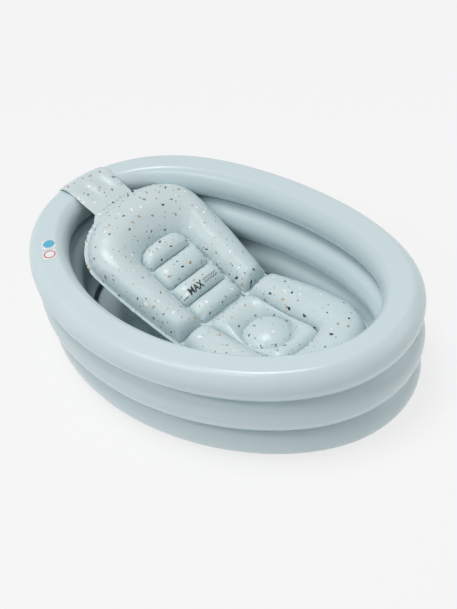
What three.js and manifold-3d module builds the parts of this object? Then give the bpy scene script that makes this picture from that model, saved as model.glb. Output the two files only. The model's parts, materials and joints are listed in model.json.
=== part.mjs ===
// Inflatable baby bath: three stacked air rings round an oval floor, with a lift-out inflated seat whose backrest folds
// at its crease and hangs from the head end of the top ring by a strap. Millimetres, +Z up, +X towards the foot end,
// origin on the underside below the middle of the oval.
import * as THREE from "three";
import { mergeVertices } from "three/addons/utils/BufferGeometryUtils.js";
import Module from "manifold-3d";

const wasm = await Module();
wasm.setup();

// What touches keeps a seat gap, and welded film keeps a seam gap to the air chambers on both sides of it.
const seat_gap = 0.3;
const seam_gap = 0.4;
const cut_overrun = 5;

// Oval that the top ring's centre follows, seen from above.
const oval_half_length = 440;
const oval_half_width = 256.5;
const oval_end_share = 0.0477;
const oval_side_share = 0.0413;
const oval_lopside = 7.7;

// Air rings.
const top_ring_radius = 41.9;
const middle_ring_radius = 47.3;
const bottom_ring_half_width = 44.5;
const bottom_ring_half_height = 41;
const middle_ring_inset = 10.2;
const bottom_ring_inset = 18.9;
const ring_press = 4.2;
const floor_press = 1.9;
const weld_band_width = 22;
const weld_band_thickness = 1;

// Floor: a film sheet welded under the bottom ring, and an inflated mat on it.
const floor_sheet_thickness = 1.5;
const floor_sheet_inset = 9;
const floor_mat_thickness = 22;
const floor_mat_clearance = 2.2;
const floor_mat_edge = 15;

// Push-in air valves.
const valve_flange_radius = 10;
const valve_flange_thickness = 1.6;
const valve_neck_radius = 6.6;
const valve_neck_height = 7;
const valve_bore_radius = 4.2;
const valve_stem_length = 6;
const valve_cap_thickness = 1.8;
const valve_running_gap = 0.3;
const valve_pocket_gap = 0.4;
const valve_pocket_drop = 0.3;
const ring_valve_turn = 112;

// Drain through the floor, under the backrest.
const drain_from_head = 155;
const drain_flange_radius = 22;
const drain_flange_thickness = 2;
const drain_bore_radius = 7;
const drain_collar_wall = 2.7;
const drain_cap_radius = 12;
const drain_cap_thickness = 3;
const drain_grip_radius = 4;
const drain_grip_height = 5;
const drain_well_radius = 30;

// Seat insert: where its crease lies, how it is turned, and how far its back leans up from the level.
const insert_x = -16.7;
const insert_y = 20;
const insert_turn = -2.4;
const wall_clearance = 1.5;
const wall_look_down = 12;
const wall_press_step = 0.25;
const back_recline = 26.1;
const crease_margin = 8;
const crease_half_width = 132;
const crease_bead_radius = 1.3;
const crease_bead_half_length = 130;

// Film and seams of the insert.
const film_thickness = 1.2;
const seam_width = 6;
const flange_width = 6;
const head_flange_extra = 4;

// Heights of its inflated chambers, from the plane of the welds.
const bolster_crown = 40;
const seat_belly = 38;
const back_belly = 40;
const channel_crown = 25;
const channel_belly = 23;
const pad_crown = 27;
const pad_belly = 31;
const pad_full_half_width = 26;
const dome_crown = 25;
const dome_belly = 33;
const chamber_squareness = 2.3;
const lens_start_share = 0.14;
const lens_length = 36;

// Outline of the backrest, from the crease to the head.
const back_half_width = 155.5;
const back_widest_at = 233;
const back_length = 341;
const back_near_top_power = 1.95;
const back_far_top_power = 2.55;
const back_side_power = 1.6;
const channel_edges = [8, 57, 108, 166, 214];
const channel_half_width = 59;
const head_channel_half_width = 51;
const back_well_round = 42;

// Outline of the seat part, from the crease to the foot.
const seat_half_width = 162;
const seat_widest_at = 165;
const seat_length = 316;
const seat_foot_power = 2.9;
const seat_side_power = 1.6;
const pad_near = 11;
const pad_far = 219;
const pad_half_width = 60;
const pad_corner_power = 8;
const seat_well_round = 20;
const dome_at = 124;
const dome_radius = 49;

// Strap over the top ring, with a hook-and-loop patch on it and one on the ring under it.
const strap_thickness = 2;
const strap_lap = 4.5;
const strap_overreach = 2;
const strap_start_y = 33.2;
const strap_start_half_width = 53.5;
const strap_tail_y = 36.5;
const strap_tail_half_width = 53.5;
const strap_touch_angle = 104;
const strap_tail_angle = 28;
const patch_thickness = 1;
const patch_from_row = 5;
const patch_to_row = 10;
const patch_margin_share = 0.1;

// Fineness of the curved surfaces.
const ring_stations = 56;
const ring_arc_steps = 6;
const mat_edge_steps = 3;
const chamber_sides = 10;
const side_shares = [0, 0.023, 0.056, 0.103, 0.17, 0.36, 0.57, 0.79, 1];
const end_steps = 8;
const pad_stations = 32;
const pillow_half_steps = 3;
const pillow_end_share = 0.96;
const dome_steps = 4;
const round_sides = 20;
const strap_rows = 13;
const strap_columns = 6;
const bead_sides = 8;
const straight_tolerance = 1e-4;
const centre_line_points = 720;

const full_turn = 2 * Math.PI;
const degrees = Math.PI / 180;

const film_finish = new THREE.MeshStandardMaterial({ color: 0xbccfd2, roughness: 0.38, metalness: 0 });
const speckled_finish = new THREE.MeshStandardMaterial({ color: 0xcfdedd, roughness: 0.42, metalness: 0 });
const clear_finish = new THREE.MeshStandardMaterial({ color: 0xdfe8e8, roughness: 0.3, metalness: 0 });
const patch_finish = new THREE.MeshStandardMaterial({ color: 0xe3e7e6, roughness: 0.9, metalness: 0 });

const vec2 = (x, y) => new THREE.Vector2(x, y);
const vec3 = (x, y, z) => new THREE.Vector3(x, y, z);

// A closed surface from points and triangles, with its faces turned outwards.
function closedSurface(points, triangles) {
  let volume = 0;
  for (let i = 0; i < triangles.length; i += 3) {
    const [a, b, c] = [points[triangles[i]], points[triangles[i + 1]], points[triangles[i + 2]]];
    volume += a.dot(vec3().crossVectors(b, c));
  }
  const geometry = new THREE.BufferGeometry().setFromPoints(points);
  geometry.setIndex(volume < 0 ? [...triangles].reverse() : triangles);
  geometry.computeVertexNormals();
  return geometry;
}

// A skin through sections of equally many points, an even number: a loop when closed is true, else capped at both ends.
function loft(sections, closed) {
  const count = sections[0].length;
  const triangles = [];
  const spans = closed ? sections.length : sections.length - 1;
  for (let i = 0; i < spans; i++) {
    const here = i * count;
    const next = ((i + 1) % sections.length) * count;
    for (let j = 0; j < count; j++) {
      const k = (j + 1) % count;
      triangles.push(here + j, next + j, next + k, here + j, next + k, here + k);
    }
  }
  if (!closed) {
    const last = (sections.length - 1) * count;
    for (let j = 0; j < count / 2 - 1; j++) {
      const mate = count - 1 - j;
      triangles.push(j, j + 1, mate - 1, j, mate - 1, mate);
      triangles.push(last + j, last + mate - 1, last + j + 1, last + j, last + mate, last + mate - 1);
    }
  }
  return closedSurface(sections.flat(), triangles);
}

function manifoldOf(geometry) {
  const bare = geometry.clone();
  bare.deleteAttribute("normal");
  bare.deleteAttribute("uv");
  const merged = mergeVertices(bare);
  return new wasm.Manifold(
    new wasm.Mesh({
      numProp: 3,
      vertProperties: merged.attributes.position.array,
      triVerts: new Uint32Array(merged.index.array),
    }),
  );
}

function geometryOf(solid) {
  const mesh = solid.getMesh();
  const geometry = new THREE.BufferGeometry();
  geometry.setAttribute("position", new THREE.BufferAttribute(mesh.vertProperties, 3));
  geometry.setIndex(new THREE.BufferAttribute(mesh.triVerts, 1));
  geometry.computeVertexNormals();
  return geometry;
}

function cut(geometry, tool) {
  return geometryOf(manifoldOf(geometry).subtract(manifoldOf(tool)));
}

// An outline without the points that lie on a straight run.
function corners(outline) {
  return outline.filter((point, i) => {
    const into = point.clone().sub(outline.at(i - 1)).normalize();
    const out = outline[(i + 1) % outline.length].clone().sub(point).normalize();
    return Math.abs(into.cross(out)) > straight_tolerance;
  });
}

// A plate over a closed outline, from one height to another.
function plate(outline, low, high) {
  const shape = new THREE.Shape(corners(outline));
  return new THREE.ExtrudeGeometry(shape, { depth: high - low, bevelEnabled: false }).translate(0, 0, low);
}

// A film in the plane of the welds, cut out where the chambers swell through it.
function filmPlate(outline, holes) {
  const half = film_thickness / 2;
  const tools = holes.map((hole) => plate(grow(hole, seam_gap), -half - cut_overrun, half + cut_overrun));
  return tools.reduce(cut, plate(outline, -half, half));
}

// An outline moved outwards by a distance, square to its edges.
function grow(outline, distance) {
  const turn = THREE.ShapeUtils.isClockWise(outline) ? -1 : 1;
  return outline.map((point, i) => {
    const into = point.clone().sub(outline.at(i - 1)).normalize();
    const out = outline[(i + 1) % outline.length].clone().sub(point).normalize();
    const along = into.clone().add(out).normalize();
    const side = vec2(along.y, -along.x).multiplyScalar(turn);
    return point.clone().addScaledVector(side, distance / along.dot(out));
  });
}

function power(value, exponent) {
  return Math.sign(value) * Math.abs(value) ** exponent;
}

// A body turned about its own Z from [radius, height] points; the profile is closed, or ends on the axis.
function turned(profile, sides = round_sides) {
  return new THREE.LatheGeometry(profile.map(([r, z]) => vec2(r, z)), sides).rotateX(90 * degrees);
}

function cylinder(radius, low, high) {
  return turned([
    [0, low],
    [radius, low],
    [radius, high],
    [0, high],
  ]);
}

const root = new THREE.Group();
const insert = new THREE.Group();
const back = new THREE.Group();

function addPiece(group, name, geometry, material) {
  const mesh = new THREE.Mesh(geometry, material);
  mesh.name = name;
  group.add(mesh);
}

// Outward direction of the oval at turn t, seen from above.
function ovalNormal(t) {
  const along_x = oval_half_length * (3 * oval_end_share * Math.sin(3 * t) - Math.sin(t));
  const along_y =
    oval_half_width * (Math.cos(t) - 3 * oval_side_share * Math.cos(3 * t)) +
    oval_lopside * (2 * Math.sin(4 * t) - 2 * Math.sin(2 * t));
  return vec2(along_y, -along_x).normalize();
}

// The point of the oval at turn t, moved in from the top ring's centre line by an inset.
function ovalPoint(t, inset) {
  const x = oval_half_length * (Math.cos(t) - oval_end_share * Math.cos(3 * t));
  const y =
    oval_half_width * (Math.sin(t) - oval_side_share * Math.sin(3 * t)) +
    oval_lopside * (Math.cos(2 * t) + Math.sin(2 * t) ** 2);
  return vec2(x, y).addScaledVector(ovalNormal(t), -inset);
}

function ovalOutline(inset) {
  return Array.from({ length: ring_stations }, (_, i) => ovalPoint((full_turn * i) / ring_stations, inset));
}

// A loop along the oval whose section is a list of [outward, height] points about the given inset.
function ovalLoop(section, inset) {
  const outlines = section.map(([out]) => ovalOutline(inset - out));
  const stations = outlines[0].map((_, i) => section.map(([, z], j) => vec3(outlines[j][i].x, outlines[j][i].y, z)));
  return loft(stations, true);
}

const oval_centre_line = Array.from({ length: centre_line_points }, (_, i) =>
  ovalPoint((full_turn * i) / centre_line_points, 0),
);

// Heights, from the ground up.
const ring_floor = floor_sheet_thickness + seat_gap;
const band_space = weld_band_thickness / 2 + seat_gap;
const bottom_ring_z = ring_floor + bottom_ring_half_height - floor_press;
const lower_band_z = bottom_ring_z + bottom_ring_half_height - ring_press;
const middle_ring_z = lower_band_z + middle_ring_radius - ring_press;
const upper_band_z = middle_ring_z + middle_ring_radius - ring_press;
const top_ring_z = upper_band_z + top_ring_radius - ring_press;
const floor_mat_top = ring_floor + floor_mat_thickness;
const weld_plane_z = floor_mat_top + seat_gap + seat_belly;

const rings = [
  {
    name: "top_ring",
    inset: 0,
    half_width: top_ring_radius,
    half_height: top_ring_radius,
    z: top_ring_z,
    low: upper_band_z + band_space,
    high: top_ring_z + top_ring_radius,
  },
  {
    name: "middle_ring",
    inset: middle_ring_inset,
    half_width: middle_ring_radius,
    half_height: middle_ring_radius,
    z: middle_ring_z,
    low: lower_band_z + band_space,
    high: upper_band_z - band_space,
  },
  {
    name: "bottom_ring",
    inset: bottom_ring_inset,
    half_width: bottom_ring_half_width,
    half_height: bottom_ring_half_height,
    z: bottom_ring_z,
    low: ring_floor,
    high: lower_band_z - band_space,
  },
];

// The section of a ring: round at the sides, flat where the next ring or the floor presses it.
function ringSection(ring) {
  const from = Math.asin((ring.low - ring.z) / ring.half_height);
  const to = Math.asin(Math.min(1, (ring.high - ring.z) / ring.half_height));
  const arc = Array.from({ length: ring_arc_steps + 1 }, (_, i) => from + ((to - from) * i) / ring_arc_steps);
  const outer = arc.map((a) => [ring.half_width * Math.cos(a), ring.z + ring.half_height * Math.sin(a)]);
  const inner = outer.map(([out, z]) => [-out, z]).reverse();
  const pointed = to === 90 * degrees;
  return [...outer, ...inner.slice(pointed ? 1 : 0)];
}

// Where a valve sits: its base in a shallow pocket, its neck along the outward direction.
function facing(point, outward) {
  const turn = new THREE.Quaternion().setFromUnitVectors(vec3(0, 0, 1), outward.clone().normalize());
  return new THREE.Matrix4().compose(point, turn, vec3(1, 1, 1));
}

function valveBase() {
  const low = -valve_flange_thickness - valve_pocket_drop;
  return turned([
    [valve_bore_radius, low],
    [valve_flange_radius, low],
    [valve_flange_radius, -valve_pocket_drop],
    [valve_neck_radius, -valve_pocket_drop],
    [valve_neck_radius, valve_neck_height],
    [valve_bore_radius, valve_neck_height],
    [valve_bore_radius, low],
  ]);
}

function valvePlug() {
  const stem_radius = valve_bore_radius - valve_running_gap;
  const cap_low = valve_neck_height + valve_running_gap;
  return turned([
    [0, cap_low - valve_stem_length],
    [stem_radius, cap_low - valve_stem_length],
    [stem_radius, cap_low],
    [valve_neck_radius, cap_low],
    [valve_neck_radius, cap_low + valve_cap_thickness],
    [0, cap_low + valve_cap_thickness],
  ]);
}

// A chamber with a valve in its wall: the chamber's pocket, the valve's base and its plug.
function addWithValve(group, name, geometry, place, material) {
  const pocket_depth = valve_flange_thickness + valve_pocket_drop + seat_gap;
  const pocket = cylinder(valve_flange_radius + valve_pocket_gap, -pocket_depth, cut_overrun).applyMatrix4(place);
  addPiece(group, name, cut(geometry, pocket), material);
  addPiece(group, `${name}_valve_base`, valveBase().applyMatrix4(place), clear_finish);
  addPiece(group, `${name}_valve_plug`, valvePlug().applyMatrix4(place), clear_finish);
}

function addRings() {
  for (const ring of rings) {
    const turn = ring_valve_turn * degrees;
    const spot = ovalPoint(turn, ring.inset - ring.half_width);
    const normal = ovalNormal(turn);
    const place = facing(vec3(spot.x, spot.y, ring.z), vec3(normal.x, normal.y, 0));
    addWithValve(root, ring.name, ovalLoop(ringSection(ring), ring.inset), place, film_finish);
  }
}

function addWeldBand(name, z, inset) {
  const [out, up] = [weld_band_width / 2, weld_band_thickness / 2];
  const section = [
    [-out, z - up],
    [out, z - up],
    [out, z + up],
    [-out, z + up],
  ];
  addPiece(root, name, ovalLoop(section, inset), film_finish);
}

function addFloor() {
  const collar_radius = drain_bore_radius + drain_collar_wall;
  const atDrain = (geometry) => geometry.translate(drain_from_head - oval_half_length, insert_y, 0);
  const sheet = plate(ovalOutline(floor_sheet_inset), 0, floor_sheet_thickness);
  const sheet_hole = cylinder(collar_radius + seat_gap, -cut_overrun, floor_sheet_thickness + cut_overrun);
  addPiece(root, "floor_sheet", cut(sheet, atDrain(sheet_hole)), film_finish);

  const mat_inset = bottom_ring_inset + bottom_ring_half_width + floor_mat_clearance;
  const half = floor_mat_thickness / 2;
  const layers = [];
  for (let i = -mat_edge_steps; i <= mat_edge_steps; i++) {
    const lean = (90 * degrees * i) / mat_edge_steps;
    const inset = mat_inset + floor_mat_edge * (1 - Math.cos(lean));
    const z = ring_floor + half + half * Math.sin(lean);
    layers.push(ovalOutline(inset).map((p) => vec3(p.x, p.y, z)));
  }
  const well = cylinder(drain_well_radius, -cut_overrun, floor_mat_top + cut_overrun);
  addPiece(root, "floor_mat", cut(loft(layers, false), atDrain(well)), film_finish);

  const flange_low = floor_sheet_thickness + seat_gap;
  const flange_high = flange_low + drain_flange_thickness;
  const base = turned([
    [drain_bore_radius, seat_gap],
    [collar_radius, seat_gap],
    [collar_radius, flange_low],
    [drain_flange_radius, flange_low],
    [drain_flange_radius, flange_high],
    [drain_bore_radius, flange_high],
    [drain_bore_radius, seat_gap],
  ]);
  addPiece(root, "drain_base", atDrain(base), clear_finish);

  const cap_low = flange_high + seat_gap;
  const cap_high = cap_low + drain_cap_thickness;
  const plug = turned([
    [0, seat_gap],
    [drain_bore_radius - valve_running_gap, seat_gap],
    [drain_bore_radius - valve_running_gap, cap_low],
    [drain_cap_radius, cap_low],
    [drain_cap_radius, cap_high],
    [drain_grip_radius, cap_high],
    [drain_grip_radius, cap_high + drain_grip_height],
    [0, cap_high + drain_grip_height],
  ]);
  addPiece(root, "drain_plug", atDrain(plug), clear_finish);
}

// How full a chamber is at a distance from the crease, where it thins to a wedge so that the back can fold.
function wedge(at) {
  const share = lens_start_share + ((1 - lens_start_share) * (at - crease_margin)) / lens_length;
  return Math.sin(90 * degrees * Math.min(1, share));
}

// How far the tub's inner wall stands in from the oval, at a height or anywhere above it.
function wallInset(z) {
  const insets = rings.map((ring) => {
    const rise = Math.min(1, Math.max(0, (z - ring.z) / ring.half_height));
    return ring.inset + ring.half_width * Math.sqrt(1 - rise ** 2);
  });
  return Math.max(...insets.filter((_, i) => z < rings[i].z + rings[i].half_height));
}

// An edge point of the insert, pressed in where the tub's wall leaves no room for the chamber and its flange.
function pressedIn(point, group) {
  const moved = point.clone();
  for (;;) {
    const world = group.localToWorld(vec3(moved.x, moved.y, 0));
    const seen = vec2(world.x, world.y);
    const inset = Math.min(...oval_centre_line.map((p) => p.distanceTo(seen)));
    if (inset > wallInset(world.z - wall_look_down) + flange_width + wall_clearance) {
      return moved;
    }
    moved.y -= Math.sign(moved.y) * wall_press_step;
  }
}

// Outer edge of one side of a horseshoe-shaped chamber, from the crease to the middle of its round end.
function halfOutline(plan, end_power) {
  const outer = [];
  for (const share of side_shares) {
    const narrowing = (plan.half_width - crease_half_width) * (1 - share) ** plan.side_power;
    outer.push(vec2(crease_margin + (plan.widest_at - crease_margin) * share, plan.half_width - narrowing));
  }
  for (let i = 1; i <= end_steps; i++) {
    const a = (90 * degrees * i) / end_steps;
    const reach = (plan.length - plan.widest_at) * power(Math.sin(a), 2 / end_power);
    const cosine = i < end_steps ? Math.cos(a) : 0;
    outer.push(vec2(plan.widest_at + reach, plan.half_width * power(cosine, 2 / end_power)));
  }
  return outer;
}

// Outer and inner edge of a horseshoe-shaped chamber, from the crease round the end and back to the crease.
function horseshoe(plan, group) {
  const inner_straight = plan.well_far - plan.well_round;
  const inner = [];
  for (const share of side_shares) {
    inner.push(vec2(crease_margin + (inner_straight - crease_margin) * share, plan.well_half_width));
  }
  for (let i = 1; i <= end_steps; i++) {
    const a = (90 * degrees * i) / end_steps;
    const cosine = i < end_steps ? Math.cos(a) : 0;
    inner.push(vec2(inner_straight + plan.well_round * Math.sin(a), plan.well_half_width * cosine));
  }
  const outer = halfOutline(plan, plan.end_power);
  const other = halfOutline(plan, plan.other_end_power);
  const joined = (one, two) => [...one, ...two.slice(0, -1).reverse().map((p) => vec2(p.x, -p.y))];
  return { outer: joined(outer, other).map((p) => pressedIn(p, group)), inner: joined(inner, inner) };
}

// Section of an inflated chamber over the span between two edge points, swelling above and below the weld plane.
function swollen(edge, other, crown, belly) {
  return Array.from({ length: chamber_sides }, (_, j) => {
    const a = (full_turn * j) / chamber_sides;
    const across = power(Math.cos(a), 2 / chamber_squareness);
    const up = power(Math.sin(a), 2 / chamber_squareness);
    const at = edge.clone().lerp(other, (1 - across) / 2);
    return vec3(at.x, at.y, up * (up > 0 ? crown : belly));
  });
}

function horseshoeSections(edges, crown, belly) {
  return edges.outer.map((edge, i) => {
    const full = wedge(edge.x);
    return swollen(edge, edges.inner[i], crown * full, belly * full);
  });
}

// The middle of one facet of a chamber at a station, with the direction that it faces.
function facetPlace(sections, station, facet, share) {
  const here = sections[station];
  const next = (facet + 1) % here.length;
  const point = here[next].clone().lerp(here[facet], share);
  const along = sections[station + 1][facet].clone().sub(sections[station - 1][facet]);
  const across = here[next].clone().sub(here[facet]);
  return facing(point, vec3().crossVectors(across, along));
}

const back_plan = {
  half_width: back_half_width,
  widest_at: back_widest_at,
  length: back_length,
  side_power: back_side_power,
  end_power: back_near_top_power,
  other_end_power: back_far_top_power,
  well_half_width: channel_half_width + seam_width,
  well_far: channel_edges.at(-1) + seam_width,
  well_round: back_well_round,
};

const seat_plan = {
  half_width: seat_half_width,
  widest_at: seat_widest_at,
  length: seat_length,
  side_power: seat_side_power,
  end_power: seat_foot_power,
  other_end_power: seat_foot_power,
  well_half_width: pad_half_width + seam_width,
  well_far: pad_far + seam_width,
  well_round: seat_well_round,
};

// The channels across the back: each a pillow from its near to its far edge, ending short of the bolster's legs.
function channelStations(index) {
  const head = index === channel_edges.length - 2;
  const half_width = head ? head_channel_half_width : channel_half_width;
  const near = channel_edges[index] + (index > 0 ? seam_width / 2 : 0);
  const far = channel_edges[index + 1] - (head ? 0 : seam_width / 2);
  const round = head ? back_well_round : 0;
  const stations = [];
  for (let i = -pillow_half_steps; i <= pillow_half_steps; i++) {
    const share = pillow_end_share * Math.sin((90 * degrees * i) / pillow_half_steps);
    const corner = (1 - share ** 6) ** (1 / 6);
    const y = share * half_width;
    const rounding = round * (1 - Math.sqrt(1 - (y / back_plan.well_half_width) ** 2));
    const middle = (near + far - rounding) / 2;
    const half = (corner * (far - rounding - near)) / 2;
    stations.push({ near: vec2(middle - half, y), far: vec2(middle + half, y), full: (1 - Math.abs(share) ** 3) ** 0.5 });
  }
  return stations;
}

function addBack() {
  const edges = horseshoe(back_plan, back);
  const sections = horseshoeSections(edges, bolster_crown, back_belly);
  const lowest_facet = (chamber_sides * 3) / 4 - 1 / 2;
  const place = facetPlace(sections, (sections.length - 1) / 2, lowest_facet, 0.5);
  addWithValve(back, "back_bolster", loft(sections, false), place, speckled_finish);
  const holes = [[...edges.outer, ...[...edges.inner].reverse()]];
  for (let i = 0; i < channel_edges.length - 1; i++) {
    const stations = channelStations(i);
    const pillow = stations.map(({ near, far, full }) => swollen(far, near, channel_crown * full, channel_belly * full));
    addPiece(back, `back_channel_${i + 1}`, loft(pillow, false), speckled_finish);
    holes.push([...stations.map((s) => s.near), ...stations.map((s) => s.far).reverse()]);
  }
  const flange = grow(edges.outer, flange_width).map((p) => {
    const share = Math.max(0, (p.x - back_widest_at) / (back_length + flange_width - back_widest_at));
    return vec2(p.x + head_flange_extra * share ** 2, p.y);
  });
  addPiece(back, "back_film", filmPlate(flange, holes), speckled_finish);
}

function addSeat() {
  const edges = horseshoe(seat_plan, insert);
  const sections = horseshoeSections(edges, bolster_crown, seat_belly);
  const place = facetPlace(sections, (sections.length - 1) / 2, chamber_sides - 1, 0.58);
  addWithValve(insert, "leg_bolster", loft(sections, false), place, speckled_finish);

  const pad_middle = (pad_near + pad_far) / 2;
  const pad_half_length = (pad_far - pad_near) / 2;
  const hole_radius = dome_radius + seam_width;
  const pad_outer = [];
  const pad_inner = [];
  for (let i = 0; i < pad_stations; i++) {
    const a = (full_turn * i) / pad_stations;
    const sum = Math.abs(Math.cos(a)) ** pad_corner_power + Math.abs(Math.sin(a)) ** pad_corner_power;
    const stretch = sum ** (-1 / pad_corner_power);
    const x = pad_middle + pad_half_length * stretch * Math.cos(a);
    const y = pad_half_width * stretch * Math.sin(a);
    const bearing = Math.atan2(y, x - dome_at);
    pad_outer.push(vec2(x, y));
    pad_inner.push(vec2(dome_at + hole_radius * Math.cos(bearing), hole_radius * Math.sin(bearing)));
  }
  const pad = pad_outer.map((edge, i) => {
    const full = Math.min(1, edge.distanceTo(pad_inner[i]) / (2 * pad_full_half_width)) ** 0.5;
    return swollen(edge, pad_inner[i], pad_crown * full, pad_belly * full);
  });
  addPiece(insert, "seat_pad", loft(pad, true), speckled_finish);

  const dome_profile = [];
  for (let i = -dome_steps; i <= dome_steps; i++) {
    const a = (90 * degrees * i) / dome_steps;
    const radius = Math.abs(i) === dome_steps ? 0 : dome_radius * power(Math.cos(a), 2 / chamber_squareness);
    dome_profile.push([radius, Math.sin(a) * (i > 0 ? dome_crown : dome_belly)]);
  }
  addPiece(insert, "seat_dome", turned(dome_profile).translate(dome_at, 0, 0), speckled_finish);

  const dome_outline = Array.from({ length: round_sides }, (_, i) => {
    const a = (full_turn * i) / round_sides;
    return vec2(dome_at + dome_radius * Math.cos(a), dome_radius * Math.sin(a));
  });
  const bolster_outline = [...edges.outer, ...[...edges.inner].reverse()];
  const film = filmPlate(grow(edges.outer, flange_width), [bolster_outline, pad_outer]);
  addPiece(insert, "seat_film", film, speckled_finish);
  const ring = filmPlate(grow(pad_inner, -seam_gap), [dome_outline]);
  addPiece(insert, "dome_weld_ring", ring, speckled_finish);

  const bead_length = 2 * crease_bead_half_length;
  const bead = new THREE.CylinderGeometry(crease_bead_radius, crease_bead_radius, bead_length, bead_sides);
  addPiece(insert, "crease_bead", bead, speckled_finish);
}

// A point over the top ring at section angle u and an offset above its skin, on the plan line from start to end.
function underLine(start, end, u, offset) {
  const reach = (top_ring_radius + offset) * Math.cos(u);
  const direction = end.clone().sub(start);
  const sideOf = (t) => ovalPoint(t, -reach).sub(start).cross(direction);
  let [low, high] = [150 * degrees, 210 * degrees];
  const rising = sideOf(high) > sideOf(low);
  for (let i = 0; i < 40; i++) {
    const middle = (low + high) / 2;
    if (sideOf(middle) > 0 === rising) {
      high = middle;
    } else {
      low = middle;
    }
  }
  const point = ovalPoint(low, -reach);
  return vec3(point.x, point.y, top_ring_z + (top_ring_radius + offset) * Math.sin(u));
}

const back_edge = back_length + flange_width + head_flange_extra;

// A strip with equal rows of points on its two faces.
function strip(under, over) {
  return loft(
    under.map((row, i) => [...row, ...[...over[i]].reverse()]),
    false,
  );
}

// Plan lines of the strap, at shares of its width.
function strapLines(from_share, to_share) {
  return Array.from({ length: strap_columns + 1 }, (_, i) => {
    const side = 2 * (from_share + ((to_share - from_share) * i) / strap_columns) - 1;
    const start_x = insert_x - back_edge * Math.cos(back_recline * degrees);
    const start = vec2(start_x, strap_start_y + side * strap_start_half_width);
    return { start, end: vec2(-oval_half_length, strap_tail_y + side * strap_tail_half_width) };
  });
}

function overRing(lines, offset, from_row = 0, to_row = strap_rows - 1) {
  const step = (strap_tail_angle - strap_touch_angle) / (strap_rows - 1);
  return Array.from({ length: to_row - from_row + 1 }, (_, i) => {
    const u = (strap_touch_angle + step * (from_row + i)) * degrees;
    return lines.map(({ start, end }) => underLine(start, end, u, offset));
  });
}

// A row of the strap on the back's film, at a distance from the crease and a height over the weld plane.
function onBackFilm(lines, at, height) {
  const from_root = back.matrixWorld.clone().invert();
  return lines.map(({ start, end }) => {
    const a = vec3(start.x, start.y, weld_plane_z).applyMatrix4(from_root);
    const b = vec3(end.x, end.y, weld_plane_z).applyMatrix4(from_root);
    const y = a.y + ((b.y - a.y) * (at - back_edge)) / (b.x - a.x);
    return vec3(at, y, height).applyMatrix4(back.matrixWorld);
  });
}

function addStrap() {
  const loop_offset = seat_gap + patch_thickness + seat_gap;
  const under_offset = loop_offset + patch_thickness + 2 * seat_gap;
  const lap_height = film_thickness / 2 + seat_gap;
  const lap_from = back_edge - strap_lap;
  const lap_to = back_edge + strap_overreach;
  const lines = strapLines(0, 1);
  const face = (height) => [
    onBackFilm(lines, lap_from, lap_height + height),
    onBackFilm(lines, lap_to, lap_height + height),
    ...overRing(lines, under_offset + height),
  ];
  addPiece(root, "strap", strip(face(0), face(strap_thickness)), speckled_finish);

  const patch_lines = strapLines(patch_margin_share, 1 - patch_margin_share);
  const patch = (offset) => overRing(patch_lines, offset, patch_from_row, patch_to_row);
  addPiece(root, "ring_hook_patch", strip(patch(seat_gap), patch(seat_gap + patch_thickness)), patch_finish);
  addPiece(root, "strap_loop_patch", strip(patch(loop_offset), patch(loop_offset + patch_thickness)), patch_finish);
}

insert.position.set(insert_x, insert_y, weld_plane_z);
insert.rotation.z = insert_turn * degrees;
back.rotation.set(0, back_recline * degrees, 180 * degrees);
insert.add(back);
root.add(insert);
root.updateMatrixWorld(true);

addRings();
addWeldBand("upper_weld_band", upper_band_z, middle_ring_inset / 2);
addWeldBand("lower_weld_band", lower_band_z, (middle_ring_inset + bottom_ring_inset) / 2);
addFloor();
addBack();
addSeat();
addStrap();

export default root;
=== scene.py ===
"""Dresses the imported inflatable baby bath: air rings, floor mat, speckled seat with its backrest, strap and valves."""

import json
import logging
import math
from dataclasses import asdict, dataclass, field, replace
from enum import Enum
from typing import Callable, Optional, Sequence

import bmesh
import bpy
import numpy as np
from mathutils import Matrix, Vector, noise
from mathutils.bvhtree import BVHTree
from numpy.linalg import norm

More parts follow.
